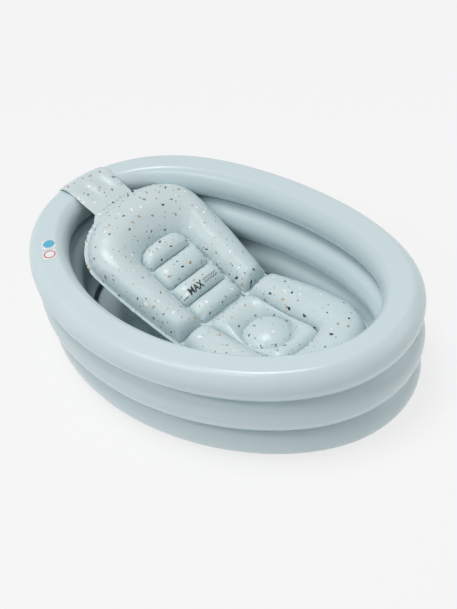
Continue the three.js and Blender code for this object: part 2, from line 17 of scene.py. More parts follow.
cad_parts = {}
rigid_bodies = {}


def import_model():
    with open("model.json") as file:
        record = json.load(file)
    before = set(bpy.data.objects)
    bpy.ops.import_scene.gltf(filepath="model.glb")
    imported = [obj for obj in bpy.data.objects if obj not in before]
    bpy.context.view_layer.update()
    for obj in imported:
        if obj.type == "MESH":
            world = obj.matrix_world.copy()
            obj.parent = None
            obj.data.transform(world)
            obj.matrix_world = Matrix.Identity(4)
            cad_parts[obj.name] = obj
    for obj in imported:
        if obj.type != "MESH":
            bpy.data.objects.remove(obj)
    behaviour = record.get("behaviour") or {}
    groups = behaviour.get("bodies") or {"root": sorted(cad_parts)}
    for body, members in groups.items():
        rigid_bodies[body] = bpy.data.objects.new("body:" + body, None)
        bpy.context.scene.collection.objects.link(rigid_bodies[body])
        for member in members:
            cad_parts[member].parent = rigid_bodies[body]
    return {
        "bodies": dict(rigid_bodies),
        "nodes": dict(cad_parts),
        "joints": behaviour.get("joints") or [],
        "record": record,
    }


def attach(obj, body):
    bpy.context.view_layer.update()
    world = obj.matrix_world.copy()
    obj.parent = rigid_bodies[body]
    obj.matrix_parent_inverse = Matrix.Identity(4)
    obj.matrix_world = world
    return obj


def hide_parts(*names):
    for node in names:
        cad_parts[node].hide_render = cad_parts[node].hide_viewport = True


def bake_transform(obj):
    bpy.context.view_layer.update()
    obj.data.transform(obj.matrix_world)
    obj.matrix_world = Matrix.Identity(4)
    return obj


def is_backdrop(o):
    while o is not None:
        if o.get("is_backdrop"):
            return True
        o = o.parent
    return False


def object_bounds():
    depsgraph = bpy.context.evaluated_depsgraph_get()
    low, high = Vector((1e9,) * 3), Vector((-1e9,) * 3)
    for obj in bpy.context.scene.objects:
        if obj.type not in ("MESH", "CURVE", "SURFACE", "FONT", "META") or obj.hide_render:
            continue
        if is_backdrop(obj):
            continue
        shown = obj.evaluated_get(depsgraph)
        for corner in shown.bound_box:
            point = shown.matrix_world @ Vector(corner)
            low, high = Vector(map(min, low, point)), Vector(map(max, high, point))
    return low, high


LOG = logging.getLogger("baby_bath")
FULL_TURN = 2 * math.pi
Color = tuple[float, float, float]
Point = tuple[float, float, float]
Array = np.ndarray
Profile = Callable[[Array], Array]
Piece = bpy.types.Object
Material = bpy.types.Material
Socket = bpy.types.NodeSocket
Sockets = bpy.types.bpy_prop_collection
Tree = bpy.types.NodeTree


def srgb(red: int, green: int, blue: int) -> Color:
    """Turns an 8-bit display colour into linear light.

    Args:
        red: red from 0 to 255.
        green: green from 0 to 255.
        blue: blue from 0 to 255.

    Returns:
        The three linear values.
    """
    shares = [value / 255 for value in (red, green, blue)]
    return tuple(s / 12.92 if s <= 0.04045 else ((s + 0.055) / 1.055) ** 2.4 for s in shares)


def signed_power(values: Array, exponent: float) -> Array:
    """Raises sizes to a power and keeps their signs."""
    return np.sign(values) * np.abs(values) ** exponent


def ramp(values: Array, start: float, span: float) -> Array:
    """Rises from 0 at a start to 1 a span further on."""
    return np.clip((values - start) / span, 0, 1)


def bell(values: Array, centre: float, width: float) -> Array:
    """Falls from 1 at a centre to nothing a few widths away."""
    return np.exp(-(((values - centre) / width) ** 2))


def full(values: Array) -> Array:
    """Full strength everywhere."""
    return np.ones_like(values)


def loop_angles(count: int) -> Array:
    """Even angles round a loop."""
    return np.linspace(0, FULL_TURN, count, endpoint=False)


def round_square(angles: Array, squareness: float) -> Array:
    """Distance of a round-cornered square's outline from its middle: 2 is a circle, more is squarer."""
    return (np.abs(np.cos(angles)) ** squareness + np.abs(np.sin(angles)) ** squareness) ** (-1 / squareness)


def run_along(points: Array) -> Array:
    """Distance of each point from the first along a line of points."""
    return np.concatenate([[0], np.cumsum(norm(np.diff(points, axis=0), axis=1))])


def length_of(points: Array) -> float:
    """Length of a line of points."""
    return float(norm(np.diff(points, axis=0), axis=1).sum())


def unit(vectors: Array) -> Array:
    """The vectors, each brought to a length of 1."""
    return vectors / np.maximum(norm(vectors, axis=-1, keepdims=True), 1e-12)


def picked(wanted: Array, run: Array, line: Array) -> Array:
    """Points of a flat line at wanted distances along its run."""
    return np.stack([np.interp(wanted, run, line[:, 0]), np.interp(wanted, run, line[:, 1])], -1)


class Body(Enum):
    """Rigid bodies of the bath that a piece can ride on."""

    TUB = "tub"
    SEAT = "seat"
    BACKREST = "backrest"
    STRAP = "strap"


class Slot(Enum):
    """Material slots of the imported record."""

    FILM = "film"
    SPECKLED = "speckled_film"
    CLEAR = "clear_fittings"
    PATCH = "hook_and_loop"


# Nodes


class Wiring:
    """Short ways of placing and joining the nodes of one tree."""

    def __init__(self, tree: Tree) -> None:
        """Keeps the makers of the tree's nodes and links.

        Args:
            tree: the node tree.
        """
        self.make = tree.nodes.new
        self.link = tree.links.new

    def feed(self, sockets: Sockets, values: dict[object, object]) -> None:
        """Joins other sockets to inputs, or sets the inputs to plain values.

        Args:
            sockets: the inputs of a node.
            values: what goes into them, by their name or number.
        """
        for key, value in values.items():
            if isinstance(value, Socket):
                self.link(value, sockets[key])
            else:
                sockets[key].default_value = value

    def node(self, kind: str, inputs: Optional[dict[object, object]] = None, **settings: object) -> bpy.types.Node:
        """Places a node.

        Args:
            kind: Blender's name for the node.
            inputs: what goes into its inputs, by their name or number.
            settings: its own settings.

        Returns:
            The node.
        """
        placed = self.make(kind)
        for name, value in settings.items():
            setattr(placed, name, value)
        self.feed(placed.inputs, inputs or {})
        return placed

    def number(self, operation: str, *values: object) -> Socket:
        """Result of a Math node over sockets or plain numbers."""
        return self.node("ShaderNodeMath", dict(enumerate(values)), operation=operation).outputs[0]

    def split(self, vector: Socket) -> Sockets:
        """The coordinates of a vector."""
        return self.node("ShaderNodeSeparateXYZ", {0: vector}).outputs

    def mixed(self, share: object, first: object, second: object) -> Socket:
        """A mix of two colours."""
        return self.node("ShaderNodeMix", {0: share, 6: first, 7: second}, data_type="RGBA").outputs[2]

    def group(self, tree: Tree, **inputs: object) -> Sockets:
        """What a node group puts out for the given inputs."""
        return self.node("ShaderNodeGroup", inputs, node_tree=tree).outputs

    def bumped(self, height: Socket, strength: float, distance: float) -> Socket:
        """Normal of a surface whose height varies."""
        return self.node("ShaderNodeBump", {"Strength": strength, "Distance": distance, "Height": height}).outputs[0]


def surface_material(name: str) -> tuple[Material, Wiring, Sockets, Socket]:
    """Starts a material.

    Args:
        name: its name.

    Returns:
        The material, its wiring, the inputs of its surface and the place on the object.
    """
    material = bpy.data.materials.new(name)
    material.use_nodes = True
    wires = Wiring(material.node_tree)
    surface = material.node_tree.nodes["Principled BSDF"]
    return material, wires, surface.inputs, wires.node("ShaderNodeTexCoord").outputs["Object"]


# Meshes


def linked(name: str, data: bpy.types.ID) -> Piece:
    """Puts a mesh, lamp, camera or text into the scene as an object at the origin."""
    made = bpy.data.objects.new(name, data)
    bpy.context.scene.collection.objects.link(made)
    return made


def plain_mesh(holder: Piece, keep_layers: bool = True) -> bpy.types.Mesh:
    """Turns an object with modifiers or text into a plain mesh and removes it.

    Args:
        holder: the object.
        keep_layers: whether the mesh keeps its attributes.

    Returns:
        Its evaluated mesh.
    """
    bpy.context.view_layer.update()
    graph = bpy.context.evaluated_depsgraph_get()
    done = holder.evaluated_get(graph)
    mesh = bpy.data.meshes.new_from_object(done, preserve_all_data_layers=keep_layers, depsgraph=graph)
    bpy.data.objects.remove(holder)
    return mesh


def thicken(piece: Piece, name: str, thickness: float, offset: float) -> None:
    """Gives a thin piece its thickness: an offset of 0 grows it to both sides, and -1 inwards."""
    solid = piece.modifiers.new(name, "SOLIDIFY")
    solid.thickness = thickness
    solid.offset = offset


def mesh_object(name: str, points: Array, faces: Sequence[Sequence[int]], flat: Optional[Array] = None) -> Piece:
    """Makes a smooth-shaded mesh object at the origin.

    Args:
        name: name of the piece.
        points: vertices in metres, in the row frame.
        faces: vertex indices of each face.
        flat: where each vertex lies on the flat printed film, in metres.

    Returns:
        The linked object, with its faces pointing outwards.
    """
    mesh = bpy.data.meshes.new(name)
    mesh.from_pydata(points.tolist(), [], faces)
    if flat is not None:
        spots = np.zeros(len(mesh.loops), dtype=np.int32)
        mesh.loops.foreach_get("vertex_index", spots)
        layer = mesh.uv_layers.new(name="print")
        layer.data.foreach_set("uv", flat[spots].astype(np.float32).ravel())
    shell = bmesh.new()
    shell.from_mesh(mesh)
    bmesh.ops.remove_doubles(shell, verts=shell.verts, dist=1e-6)
    bmesh.ops.recalc_face_normals(shell, faces=shell.faces)
    shell.to_mesh(mesh)
    shell.free()
    mesh.polygons.foreach_set("use_smooth", [True] * len(mesh.polygons))
    mesh.update()
    return linked(name, mesh)


def skin_faces(
    rows: int, columns: int, loop_rows: bool, loop_columns: bool, caps: bool = True
) -> list[tuple[int, ...]]:
    """Lists the faces of a skin over a grid of points.

    Args:
        rows: number of sections.
        columns: points of a section.
        loop_rows: whether the last section joins the first.
        loop_columns: whether each section is a closed loop.
        caps: whether an open run of closed sections gets a face on each end.

    Returns:
        Vertex indices of each face.
    """
    faces = []
    for i in range(rows if loop_rows else rows - 1):
        here, there = i * columns, (i + 1) % rows * columns
        for j in range(columns if loop_columns else columns - 1):
            k = (j + 1) % columns
            faces.append((here + j, here + k, there + k, there + j))
    if caps and loop_columns and not loop_rows:
        last = (rows - 1) * columns
        faces.append(tuple(reversed(range(columns))))
        faces.append(tuple(last + j for j in range(columns)))
    return faces


def grid_piece(name: str, grid: Array, loop: bool, flat: Optional[Array] = None, closed: bool = True) -> Piece:
    """Makes a smooth piece over a grid of points.

    Args:
        name: name of the piece.
        grid: rows of sections, each of as many points.
        loop: whether the last section joins the first.
        flat: where each point lies on the flat printed film.
        closed: whether each section is a closed loop.

    Returns:
        The piece, with a face on each open end.
    """
    faces = skin_faces(grid.shape[0], grid.shape[1], loop, closed)
    return mesh_object(name, grid.reshape(-1, 3), faces, None if flat is None else flat.reshape(-1, 2))


def grid_normals(points: Array, loop_rows: bool, loop_columns: bool) -> Array:
    """Finds unit normals over a grid of points.

    Args:
        points: array of rows, columns and three coordinates.
        loop_rows: whether the last row joins the first.
        loop_columns: whether each row is a closed loop.

    Returns:
        An array of the same shape.
    """

    def step(axis: int, loop: bool) -> Array:
        """Central difference along one axis of the grid."""
        if loop:
            return np.roll(points, -1, axis) - np.roll(points, 1, axis)
        return np.gradient(points, axis=axis)

    return unit(np.cross(step(0, loop_rows), step(1, loop_columns)))


@dataclass
class Creases:
    """Small folds that start square to a weld and die out over the chamber.

    Attributes:
        spacing: mean distance between folds.
        depth: depth of the deepest fold at the weld.
        width: half-width of a fold at the weld.
        reach: share of the way from weld to crown that the longest folds run.
        seed: seed of their places.
    """

    spacing: float
    depth: float
    width: float
    reach: float
    seed: int

    def field(self, along: Array, way: Array, length: float, strength: Profile) -> Array:
        """Depth of the folds over a grid.

        Args:
            along: distance of each row along the weld.
            way: share of the way from the weld to the crown of each column.
            length: length of the weld.
            strength: how strong the folds are at a distance along the weld, from 0 to 1.

        Returns:
            Depths for each row and column.
        """
        random = np.random.default_rng(self.seed)
        count = max(1, int(length / self.spacing))
        places = (np.arange(count) + random.uniform(-0.42, 0.42, count)) * self.spacing
        depths = self.depth * random.uniform(0.25, 1.0, count) ** 1.4 * strength(places)
        widths = self.width * random.uniform(0.6, 1.5, count)
        reaches = self.reach * random.uniform(0.35, 1.0, count)
        total = np.zeros((len(along), len(way)))
        for place, depth, width, reach in zip(places, depths, widths, reaches):
            spread = width * (1 + 1.8 * np.clip(way / reach, 0, 3))
            across = (along[:, None] - place) / spread[None, :]
            total += depth * np.exp(-(across**2)) * np.exp(-((way[None, :] / reach) ** 2))
        return total


def slow_noise(points: Array, size: float, seed: float) -> Array:
    """Smooth noise between about -1 and 1 at each point of a grid.

    Args:
        points: array whose last axis holds the coordinates.
        size: size of the noise's swells in metres.
        seed: shift that picks another noise.

    Returns:
        One value a point.
    """
    flat = points.reshape(-1, 3) / size + seed
    values = np.array([noise.noise(Vector(p)) for p in flat])
    return values.reshape(points.shape[:-1])


# The oval and the wall round it


@dataclass(frozen=True)
class RingSize:
    """Section and place of one air ring.

    Attributes:
        name: name of the ring's node.
        inset: how far its centre line lies inside the top ring's.
        half_width: half its width.
        half_height: half its height where nothing presses it.
        z: height of its centre.
        flat_low: height of the flat where it is pressed from below.
        flat_high: height of the flat where it is pressed from above.
    """

    name: str
    inset: float
    half_width: float
    half_height: float
    z: float
    flat_low: float
    flat_high: float


@dataclass(frozen=True)
class Oval:
    """Oval that the top ring's centre follows, seen from above."""

    half_length: float = 0.440
    half_width: float = 0.2565
    end_share: float = 0.0477
    side_share: float = 0.0413
    lopside: float = 0.0077

    def normal(self, turn: Array) -> Array:
        """Outward directions at the given turns."""
        along_x = self.half_length * (3 * self.end_share * np.sin(3 * turn) - np.sin(turn))
        along_y = self.half_width * (np.cos(turn) - 3 * self.side_share * np.cos(3 * turn)) + self.lopside * (
            2 * np.sin(4 * turn) - 2 * np.sin(2 * turn)
        )
        out = np.stack([along_y, -along_x], -1)
        return unit(out)

    def point(self, turn: Array, inset: float = 0.0) -> Array:
        """Points of the oval at the given turns, moved in by an inset."""
        x = self.half_length * (np.cos(turn) - self.end_share * np.cos(3 * turn))
        y = self.half_width * (np.sin(turn) - self.side_share * np.sin(3 * turn)) + self.lopside * (
            np.cos(2 * turn) + np.sin(2 * turn) ** 2
        )
        return np.stack([x, y], -1) - np.asarray(inset)[..., None] * self.normal(turn)


@dataclass
class RingWall:
    """The three air rings, folded beside the welds between them, and the marks on the top ring.

    Attributes:
        oval: centre line of the top ring.
        path_steps: stations round the oval.
        section_steps: points round a ring's section.
        swell: height of the rings' slow unevenness.
        swell_scale: swells a metre.
        pucker_depth: depth of the folds beside the welds.
        pucker_length: length of those folds along the ring.
        pucker_reach: how far the folds run up the ring's side.
        pucker_floor: noise level above which there is a fold.
        pucker_gain: how fast a fold deepens above that level.
        pucker_power: how sharply it deepens.
        rings: sizes of the rings, from the top.
    """

    oval: Oval = field(default_factory=Oval)
    path_steps: int = 288
    section_steps: int = 72
    swell: float = 0.0011
    swell_scale: float = 6.5
    pucker_depth: float = 0.0014
    pucker_length: float = 0.017
    pucker_reach: float = 0.016
    pucker_floor: float = 0.42
    pucker_gain: float = 3.2
    pucker_power: float = 1.3
    rings: tuple[RingSize, ...] = (
        RingSize("top_ring", 0.0, 0.0419, 0.0419, 0.2016, 0.1646, 1.0),
        RingSize("middle_ring", 0.0102, 0.0473, 0.0473, 0.1208, 0.0784, 0.1632),
        RingSize("bottom_ring", 0.0189, 0.0445, 0.0410, 0.0409, 0.0018, 0.0770),
    )

    def kept_clear(self, points: Array, gap: float) -> Array:
        """Moves points that lie inside a ring straight out of its round section.

        Args:
            points: points in the row frame.
            gap: distance left between them and the ring.

        Returns:
            The points, pressed against the wall where they met it.
        """
        line_steps, batch, deepest = 1080, 2000, 0.3
        line = self.oval.point(loop_angles(line_steps))
        moved = points.copy()
        for start in range(0, len(points), batch):
            part = moved[start : start + batch]
            away = part[:, None, :2] - line[None, :, :]
            span = norm(away, axis=2)
            nearest = span.argmin(1)
            rows = np.arange(len(part))
            inset = span[rows, nearest]
            inward = away[rows, nearest] / np.maximum(inset, 1e-9)[:, None]
            for ring in self.rings:
                out, up = inset - ring.inset, part[:, 2] - ring.z
                share = np.hypot(out / (ring.half_width + gap), up / (ring.half_height + gap))
                grown = np.where(share < 1, 1 / np.maximum(share, deepest), 1)
                part[:, :2] += inward * (out * (grown - 1))[:, None]
                part[:, 2] += up * (grown - 1)
                inset = inset + out * (grown - 1)
        return moved

    def inputs_for(self, ring: RingSize, film: Optional[Material], seed: float) -> dict[str, object]:
        """Values of the geometry nodes' named inputs for one ring."""
        return {
            "Half Width": ring.half_width,
            "Half Height": ring.half_height,
            "Centre Height": ring.z,
            "Flat Low": ring.flat_low,
            "Flat High": ring.flat_high,
            "Swell": self.swell,
            "Pucker Depth": self.pucker_depth,
            "Pucker Length": self.pucker_length,
            "Pucker Reach": self.pucker_reach,
            "Seed": seed,
            "Film": film,
        }

    def tree(self) -> Tree:
        """Sweeps a pressed round section along a path and folds it beside the welds.

        Returns:
            Geometry nodes with named inputs for the sizes.
        """
        tree = bpy.data.node_groups.new("Air ring", "GeometryNodeTree")
        tree.interface.new_socket("Path", in_out="INPUT", socket_type="NodeSocketGeometry")
        for name in self.inputs_for(self.rings[0], None, 0.0):
            kind = "NodeSocketMaterial" if name == "Film" else "NodeSocketFloat"
            tree.interface.new_socket(name, in_out="INPUT", socket_type=kind)
        tree.interface.new_socket("Ring", in_out="OUTPUT", socket_type="NodeSocketGeometry")
        wires = Wiring(tree)
        node, number = wires.node, wires.number
        given = node("NodeGroupInput").outputs
        position = node("GeometryNodeInputPosition").outputs[0]

        curve = node("GeometryNodeMeshToCurve", {0: given["Path"]})
        place = {"Name": "spine", "Geometry": curve.outputs[0], "Value": position}
        spine = node("GeometryNodeStoreNamedAttribute", place, data_type="FLOAT_VECTOR", domain="POINT")
        upright = node("GeometryNodeSetCurveNormal", {"Curve": spine.outputs[0]}, mode="Z_UP")

        circle = node("GeometryNodeCurvePrimitiveCircle", {"Resolution": self.section_steps, "Radius": 1.0})
        spot = wires.split(position)
        low, high = (number("SUBTRACT", given[name], given["Centre Height"]) for name in ("Flat Low", "Flat High"))
        height = number("MULTIPLY", spot["Y"], given["Half Height"])
        pressed = number("MINIMUM", number("MAXIMUM", height, low), high)
        profile = node("ShaderNodeCombineXYZ", {"X": number("MULTIPLY", spot["X"], given["Half Width"]), "Y": pressed})
        section = node("GeometryNodeSetPosition", {"Geometry": circle.outputs["Curve"], "Position": profile.outputs[0]})
        sweep = node("GeometryNodeCurveToMesh", {"Curve": upright.outputs[0], "Profile Curve": section.outputs[0]})
        level = wires.split(position)["Z"]

        def noise_of(vector: Socket, scale: object) -> Socket:
            """Seeded noise from 0 to 1 at a vector."""
            inputs = {"Vector": vector, "W": given["Seed"], "Scale": scale, "Detail": 1.0}
            return node("ShaderNodeTexNoise", inputs, noise_dimensions="4D").outputs[0]

        def fade(weld_height: Socket) -> Socket:
            """From 1 at a weld to 0 where its folds end."""
            gap = number("ABSOLUTE", number("SUBTRACT", level, weld_height))
            left = number("MAXIMUM", number("SUBTRACT", 1.0, number("DIVIDE", gap, given["Pucker Reach"])), 0.0)
            return number("MULTIPLY", left, left)

        along = node("GeometryNodeInputNamedAttribute", {"Name": "spine"}, data_type="FLOAT_VECTOR").outputs[0]
        over = number("SUBTRACT", noise_of(along, number("DIVIDE", 1.0, given["Pucker Length"])), self.pucker_floor)
        fold = number("POWER", number("MAXIMUM", number("MULTIPLY", over, self.pucker_gain), 0.0), self.pucker_power)
        beside = number("ADD", fade(given["Flat Low"]), fade(given["Flat High"]))
        pucker = number("MULTIPLY", number("MULTIPLY", fold, beside), given["Pucker Depth"])
        slow = number("SUBTRACT", noise_of(position, self.swell_scale), 0.5)
        lift = number("SUBTRACT", number("MULTIPLY", slow, number("MULTIPLY", given["Swell"], 2.0)), pucker)
        outward = node("GeometryNodeInputNormal").outputs[0]
        push = node("ShaderNodeVectorMath", {0: outward, "Scale": lift}, operation="SCALE")
        moved = node("GeometryNodeSetPosition", {"Geometry": sweep.outputs[0], "Offset": push.outputs[0]})
        smooth = node("GeometryNodeSetShadeSmooth", {"Geometry": moved.outputs[0]})
        realized = node("GeometryNodeRealizeInstances", {0: smooth.outputs[0]})
        dressed = node("GeometryNodeSetMaterial", {"Geometry": realized.outputs[0], "Material": given["Film"]})
        node("NodeGroupOutput", {"Ring": dressed.outputs[0]})
        return tree

    def build_ring(self, ring: RingSize, tree: Tree, film: Material, seed: float) -> Piece:
        """Sweeps one ring and turns it into a plain mesh.

        Args:
            ring: the ring's sizes.
            tree: the shared geometry nodes.
            film: material of its film.
            seed: seed of its unevenness.

        Returns:
            The finished ring.
        """
        turns = np.arange(self.path_steps) * FULL_TURN / self.path_steps
        path = bpy.data.meshes.new(ring.name + "_path")
        line = [(x, y, ring.z) for x, y in self.oval.point(turns, ring.inset)]
        path.from_pydata(line, [(i, (i + 1) % len(line)) for i in range(len(line))], [])
        holder = linked(ring.name + "_path", path)
        modifier = holder.modifiers.new("Air ring", "NODES")
        modifier.node_group = tree
        values = self.inputs_for(ring, film, seed)
        for item in tree.interface.items_tree:
            if item.in_out == "INPUT" and item.name in values:
                modifier[item.identifier] = values[item.name]
        mesh = plain_mesh(holder)
        if "spine" in mesh.attributes:
            mesh.attributes.remove(mesh.attributes["spine"])
        mesh.name = ring.name + "_skin"
        return linked(ring.name + "_skin", mesh)

    def on_top(self, turn: Array, around: Array, offset: float) -> Array:
        """Points over the top ring's skin.

        Args:
            turn: turns along the oval.
            around: angles round the section, from the outer side upwards.
            offset: height above the skin.

        Returns:
            Points in the row frame.
        """
        top = self.rings[0]
        radius = top.half_width + offset
        plan = self.oval.point(turn, -radius * np.cos(around))
        return np.concatenate([plan, (top.z + radius * np.sin(around))[..., None]], -1)

    def build_mark(
        self, name: str, skin: BVHTree, place: tuple[float, float], half: float, squareness: float, offset: float,
        hollow: float = 0.02,
    ) -> Piece:
        """A thin printed label that follows the top ring's skin.

        Args:
            name: name of the piece.
            skin: the top ring's skin, for finding the nearest place on it.
            place: turn of its centre along the oval and angle of its centre round the section, in degrees.
            half: half its size.
            squareness: 2 for a disc, more for a square with round corners.
            offset: height of its face above the skin.
            hollow: share of its middle left open.

        Returns:
            The mark.
        """
        turn, around = (math.radians(angle) for angle in place)
        beside = self.oval.point(np.radians([place[0] - 0.5, place[0] + 0.5]))
        speed = length_of(beside) / math.radians(1)
        angles = loop_angles(64)
        stretch = round_square(angles, squareness)
        shares = np.linspace(hollow, 1, 8)
        underside = 0.00005
        layers = []
        for height in (offset, underside):
            for share in shares if height == offset else shares[::-1]:
                turns = turn + half * share * stretch * np.cos(angles) / speed
                rounds = around + half * share * stretch * np.sin(angles) / self.rings[0].half_width
                nearest = [skin.find_nearest(Vector(p)) for p in self.on_top(turns, rounds, 0.0)]
                layers.append([spot + normal * height for spot, normal, _, _ in nearest])
        return grid_piece(name, np.array(layers), True)


# The insert


@dataclass(frozen=True)
class Horseshoe:
    """Plan of a horseshoe-shaped chamber, measured from the crease.

    Attributes:
        half_width: half-width where it is widest.
        widest_at: distance of that place from the crease.
        length: distance of its round end from the crease.
        side_power: how its sides narrow towards the crease.
        end_power: how square its round end is on the +Y side of its plane.
        other_end_power: the same on the -Y side.
        well_half_width: half-width of the hollow that it bends round.
        well_far: where that hollow ends.
        well_round: length of the hollow's round end.
        crown: height of its front over the welds.
        belly: depth of its back under the welds.
        crease_half_width: half-width at the crease.
        margin: distance of its end from the crease.
        slopes: squareness of its front towards the outer and the inner weld.
        end_slope: how much softer the slope into the hollow is at the round end.
        long_fold: depth of a fold along its +Y arm.
    """

    half_width: float
    widest_at: float
    length: float
    side_power: float
    end_power: float
    other_end_power: float
    well_half_width: float
    well_far: float
    well_round: float
    crown: float
    belly: float
    crease_half_width: float = 0.132
    margin: float = 0.0064
    slopes: tuple[float, float] = (2.12, 1.95)
    end_slope: float = 0.4
    long_fold: float = 0.0


@dataclass(frozen=True)
class Puffed:
    """What an inflated chamber is made from.

    Attributes:
        outer: one edge, as plan points.
        inner: the other edge, with as many.
        crown: height of the front over the welds at each station.
        belly: depth of the back under the welds at each station.
        outer_folds: folds along the outer edge.
        inner_folds: folds along the inner edge.
        slopes: squareness of the front towards the outer and the inner edge.
        sides: points round the section.
        lumps: height of the slow unevenness.
        loop: whether the chamber closes on itself.
        strength: how strong the outer folds are along the edge.
        extra: depth of further folds at points of the plane.
    """

    outer: Array
    inner: Array
    crown: Array
    belly: Array
    outer_folds: Creases
    inner_folds: Creases
    slopes: tuple[object, object]
    sides: int = 56
    lumps: float = 0.0006
    loop: bool = False
    strength: Profile = full
    extra: Optional[Profile] = None


@dataclass
class InsertPart:
    """Shared ways of building one part of the insert in its own plane.

    Attributes:
        wall: the wall that the part lies in.
        body: the body that the part rides on.
        recline: how far its plane leans up towards the head, or None for the level seat.
        origin: middle of the crease.
        turn: bearing of the insert in degrees.
        squareness: squareness of the chambers' backs.
        flange: width of the film round the chambers.
        head_flange: how much wider that film is at the head.
        blunt: length over which a bolster's end swells from the crease.
        lump_size: size of the chambers' slow swells.
        film_thickness: thickness of the welded film with its flange.
    """

    wall: RingWall
    body: Body
    recline: Optional[float] = None
    origin: Point = (-0.0167, 0.020, 0.0621)
    turn: float = -2.4
    squareness: float = 2.12
    flange: float = 0.0062
    head_flange: float = 0.0
    blunt: float = 0.030
    lump_size: float = 0.045
    film_thickness: float = 0.0009

    def matrix(self) -> Matrix:
        """Place of the part's plane: X away from the crease, Z out of its front."""
        place = Matrix.Translation(Vector(self.origin)) @ Matrix.Rotation(math.radians(self.turn), 4, "Z")
        if self.recline is None:
            return place
        lean = math.radians(self.recline)
        up_the_back = (-math.cos(lean), 0, math.sin(lean))
        out_of_front = (math.sin(lean), 0, math.cos(lean))
        axes = Matrix((up_the_back, (0, -1, 0), out_of_front)).transposed()
        return place @ axes.to_4x4()

    def to_row(self, points: Array) -> Array:
        """Moves points from the part's plane into the row frame."""
        matrix = np.array(self.matrix())
        return points @ matrix[:3, :3].T + matrix[:3, 3]

    @staticmethod
    def off_crease(points: Array) -> Array:
        """From 0 at the crease to 1 a little way off it, at plan points."""
        return ramp(points[:, 0], 0.006, 0.02)

    def edges(self, plan: Horseshoe, stations: int = 340) -> tuple[Array, Array]:
        """Outer and inner edge of a horseshoe, from crease to crease, denser near the crease.

        Args:
            plan: the chamber's plan.
            stations: number of points on each edge.

        Returns:
            The two edges as plan points.
        """
        fine, reach, width = 400, 36, 13.0
        share = np.linspace(0, 1, fine)
        angle = np.linspace(0, math.pi / 2, fine)[1:]
        straight = plan.well_far - plan.well_round
        narrow = plan.half_width - (plan.half_width - plan.crease_half_width) * (1 - share) ** plan.side_power
        side = np.stack([plan.margin + (plan.widest_at - plan.margin) * share, narrow], -1)
        inner_x = plan.margin + (straight - plan.margin) * share
        inner_side = np.stack([inner_x, np.full_like(share, plan.well_half_width)], -1)
        cosine = np.clip(np.cos(angle), 0, 1)
        inner_end = np.stack([straight + plan.well_round * np.sin(angle), plan.well_half_width * cosine], -1)

        def half_outer(end_power: float) -> Array:
            """One side's outer edge, from the crease to the middle of the round end."""
            far = (plan.length - plan.widest_at) * np.sin(angle) ** (2 / end_power)
            end = np.stack([plan.widest_at + far, plan.half_width * cosine ** (2 / end_power)], -1)
            return np.concatenate([side, end])

        flip = np.array([1, -1])
        half_inner = np.concatenate([inner_side, inner_end])
        outer = np.concatenate([half_outer(plan.end_power), half_outer(plan.other_end_power)[-2::-1] * flip])
        inner = np.concatenate([half_inner, half_inner[-2::-1] * flip])
        middle = (outer + inner) / 2
        steps = norm(np.diff(outer, axis=0), axis=1) + norm(np.diff(middle, axis=0), axis=1)
        steps = steps * (1 + 5 * np.exp(-((outer[1:, 0] - plan.margin) / 0.014)))
        run = np.concatenate([[0], np.cumsum(steps)])
        wanted = np.linspace(0, run[-1], stations)
        window = np.exp(-0.5 * (np.arange(-reach, reach + 1) / width) ** 2)

        def even(points: Array) -> Array:
            """The points at even steps of the run, at a smoothed pace along their line."""
            line = run_along(points)
            pace = np.interp(wanted, run, line)
            before, after = 2 * pace[0] - pace[reach:0:-1], 2 * pace[-1] - pace[-2 : -reach - 2 : -1]
            calm = np.convolve(np.concatenate([before, pace, after]), window / window.sum(), "valid")
            return picked(calm, line, points)

        return even(outer), even(inner)

    def chamber(self, name: str, air: Puffed) -> Piece:
        """An inflated chamber between two welded edges.

        Args:
            name: name of the piece.
            air: its edges, heights and folds.

        Returns:
            The chamber.
        """
        angle = np.arange(air.sides) * FULL_TURN / air.sides
        sine, cosine = np.sin(angle)[None, :], np.cos(angle)[None, :]
        count = (len(air.outer),)
        to_outer, to_inner = (np.broadcast_to(np.asarray(s, float), count)[:, None] for s in air.slopes)
        power = np.where(sine > 0, np.where(cosine > 0, to_outer, to_inner), self.squareness)
        across, up = signed_power(cosine, 2 / power), signed_power(sine, 2 / power)
        middle, half = (air.outer + air.inner) / 2, (air.outer - air.inner) / 2
        plan = middle[:, None, :] + half[:, None, :] * across[..., None]
        swell = np.where(up > 0, air.crown[:, None], air.belly[:, None]) * up
        points = np.concatenate([plan, swell[..., None]], -1)
        from_outer = np.abs((angle + math.pi) % FULL_TURN - math.pi) / (math.pi / 2)
        outer_run, inner_run = run_along(air.outer), run_along(air.inner)
        depth = air.outer_folds.field(outer_run, from_outer, outer_run[-1], air.strength)
        depth += air.inner_folds.field(inner_run, 2 - from_outer, inner_run[-1], full)
        tall = np.clip(air.crown / max(float(air.crown.max()), 1e-6), 0, 1)
        depth *= tall[:, None]
        if air.extra is not None:
            depth += air.extra(points)
        normals = grid_normals(points, air.loop, True)
        centre = np.concatenate([middle, np.zeros((len(middle), 1))], -1)
        outward = np.sign(np.sum(normals * (points - centre[:, None, :]), axis=2, keepdims=True))
        normals *= np.where(outward == 0, 1, outward)
        lump = slow_noise(points, self.lump_size, float(air.outer_folds.seed)) * air.lumps * tall[:, None]
        flat = self.spread(points, middle, half, angle) + 0.31 * (air.outer_folds.seed % 17)
        points = points + normals * (lump - depth)[..., None]
        placed = self.wall.kept_clear(self.to_row(points.reshape(-1, 3)), 0.0008)
        return grid_piece(name, placed.reshape(points.shape), air.loop, flat)

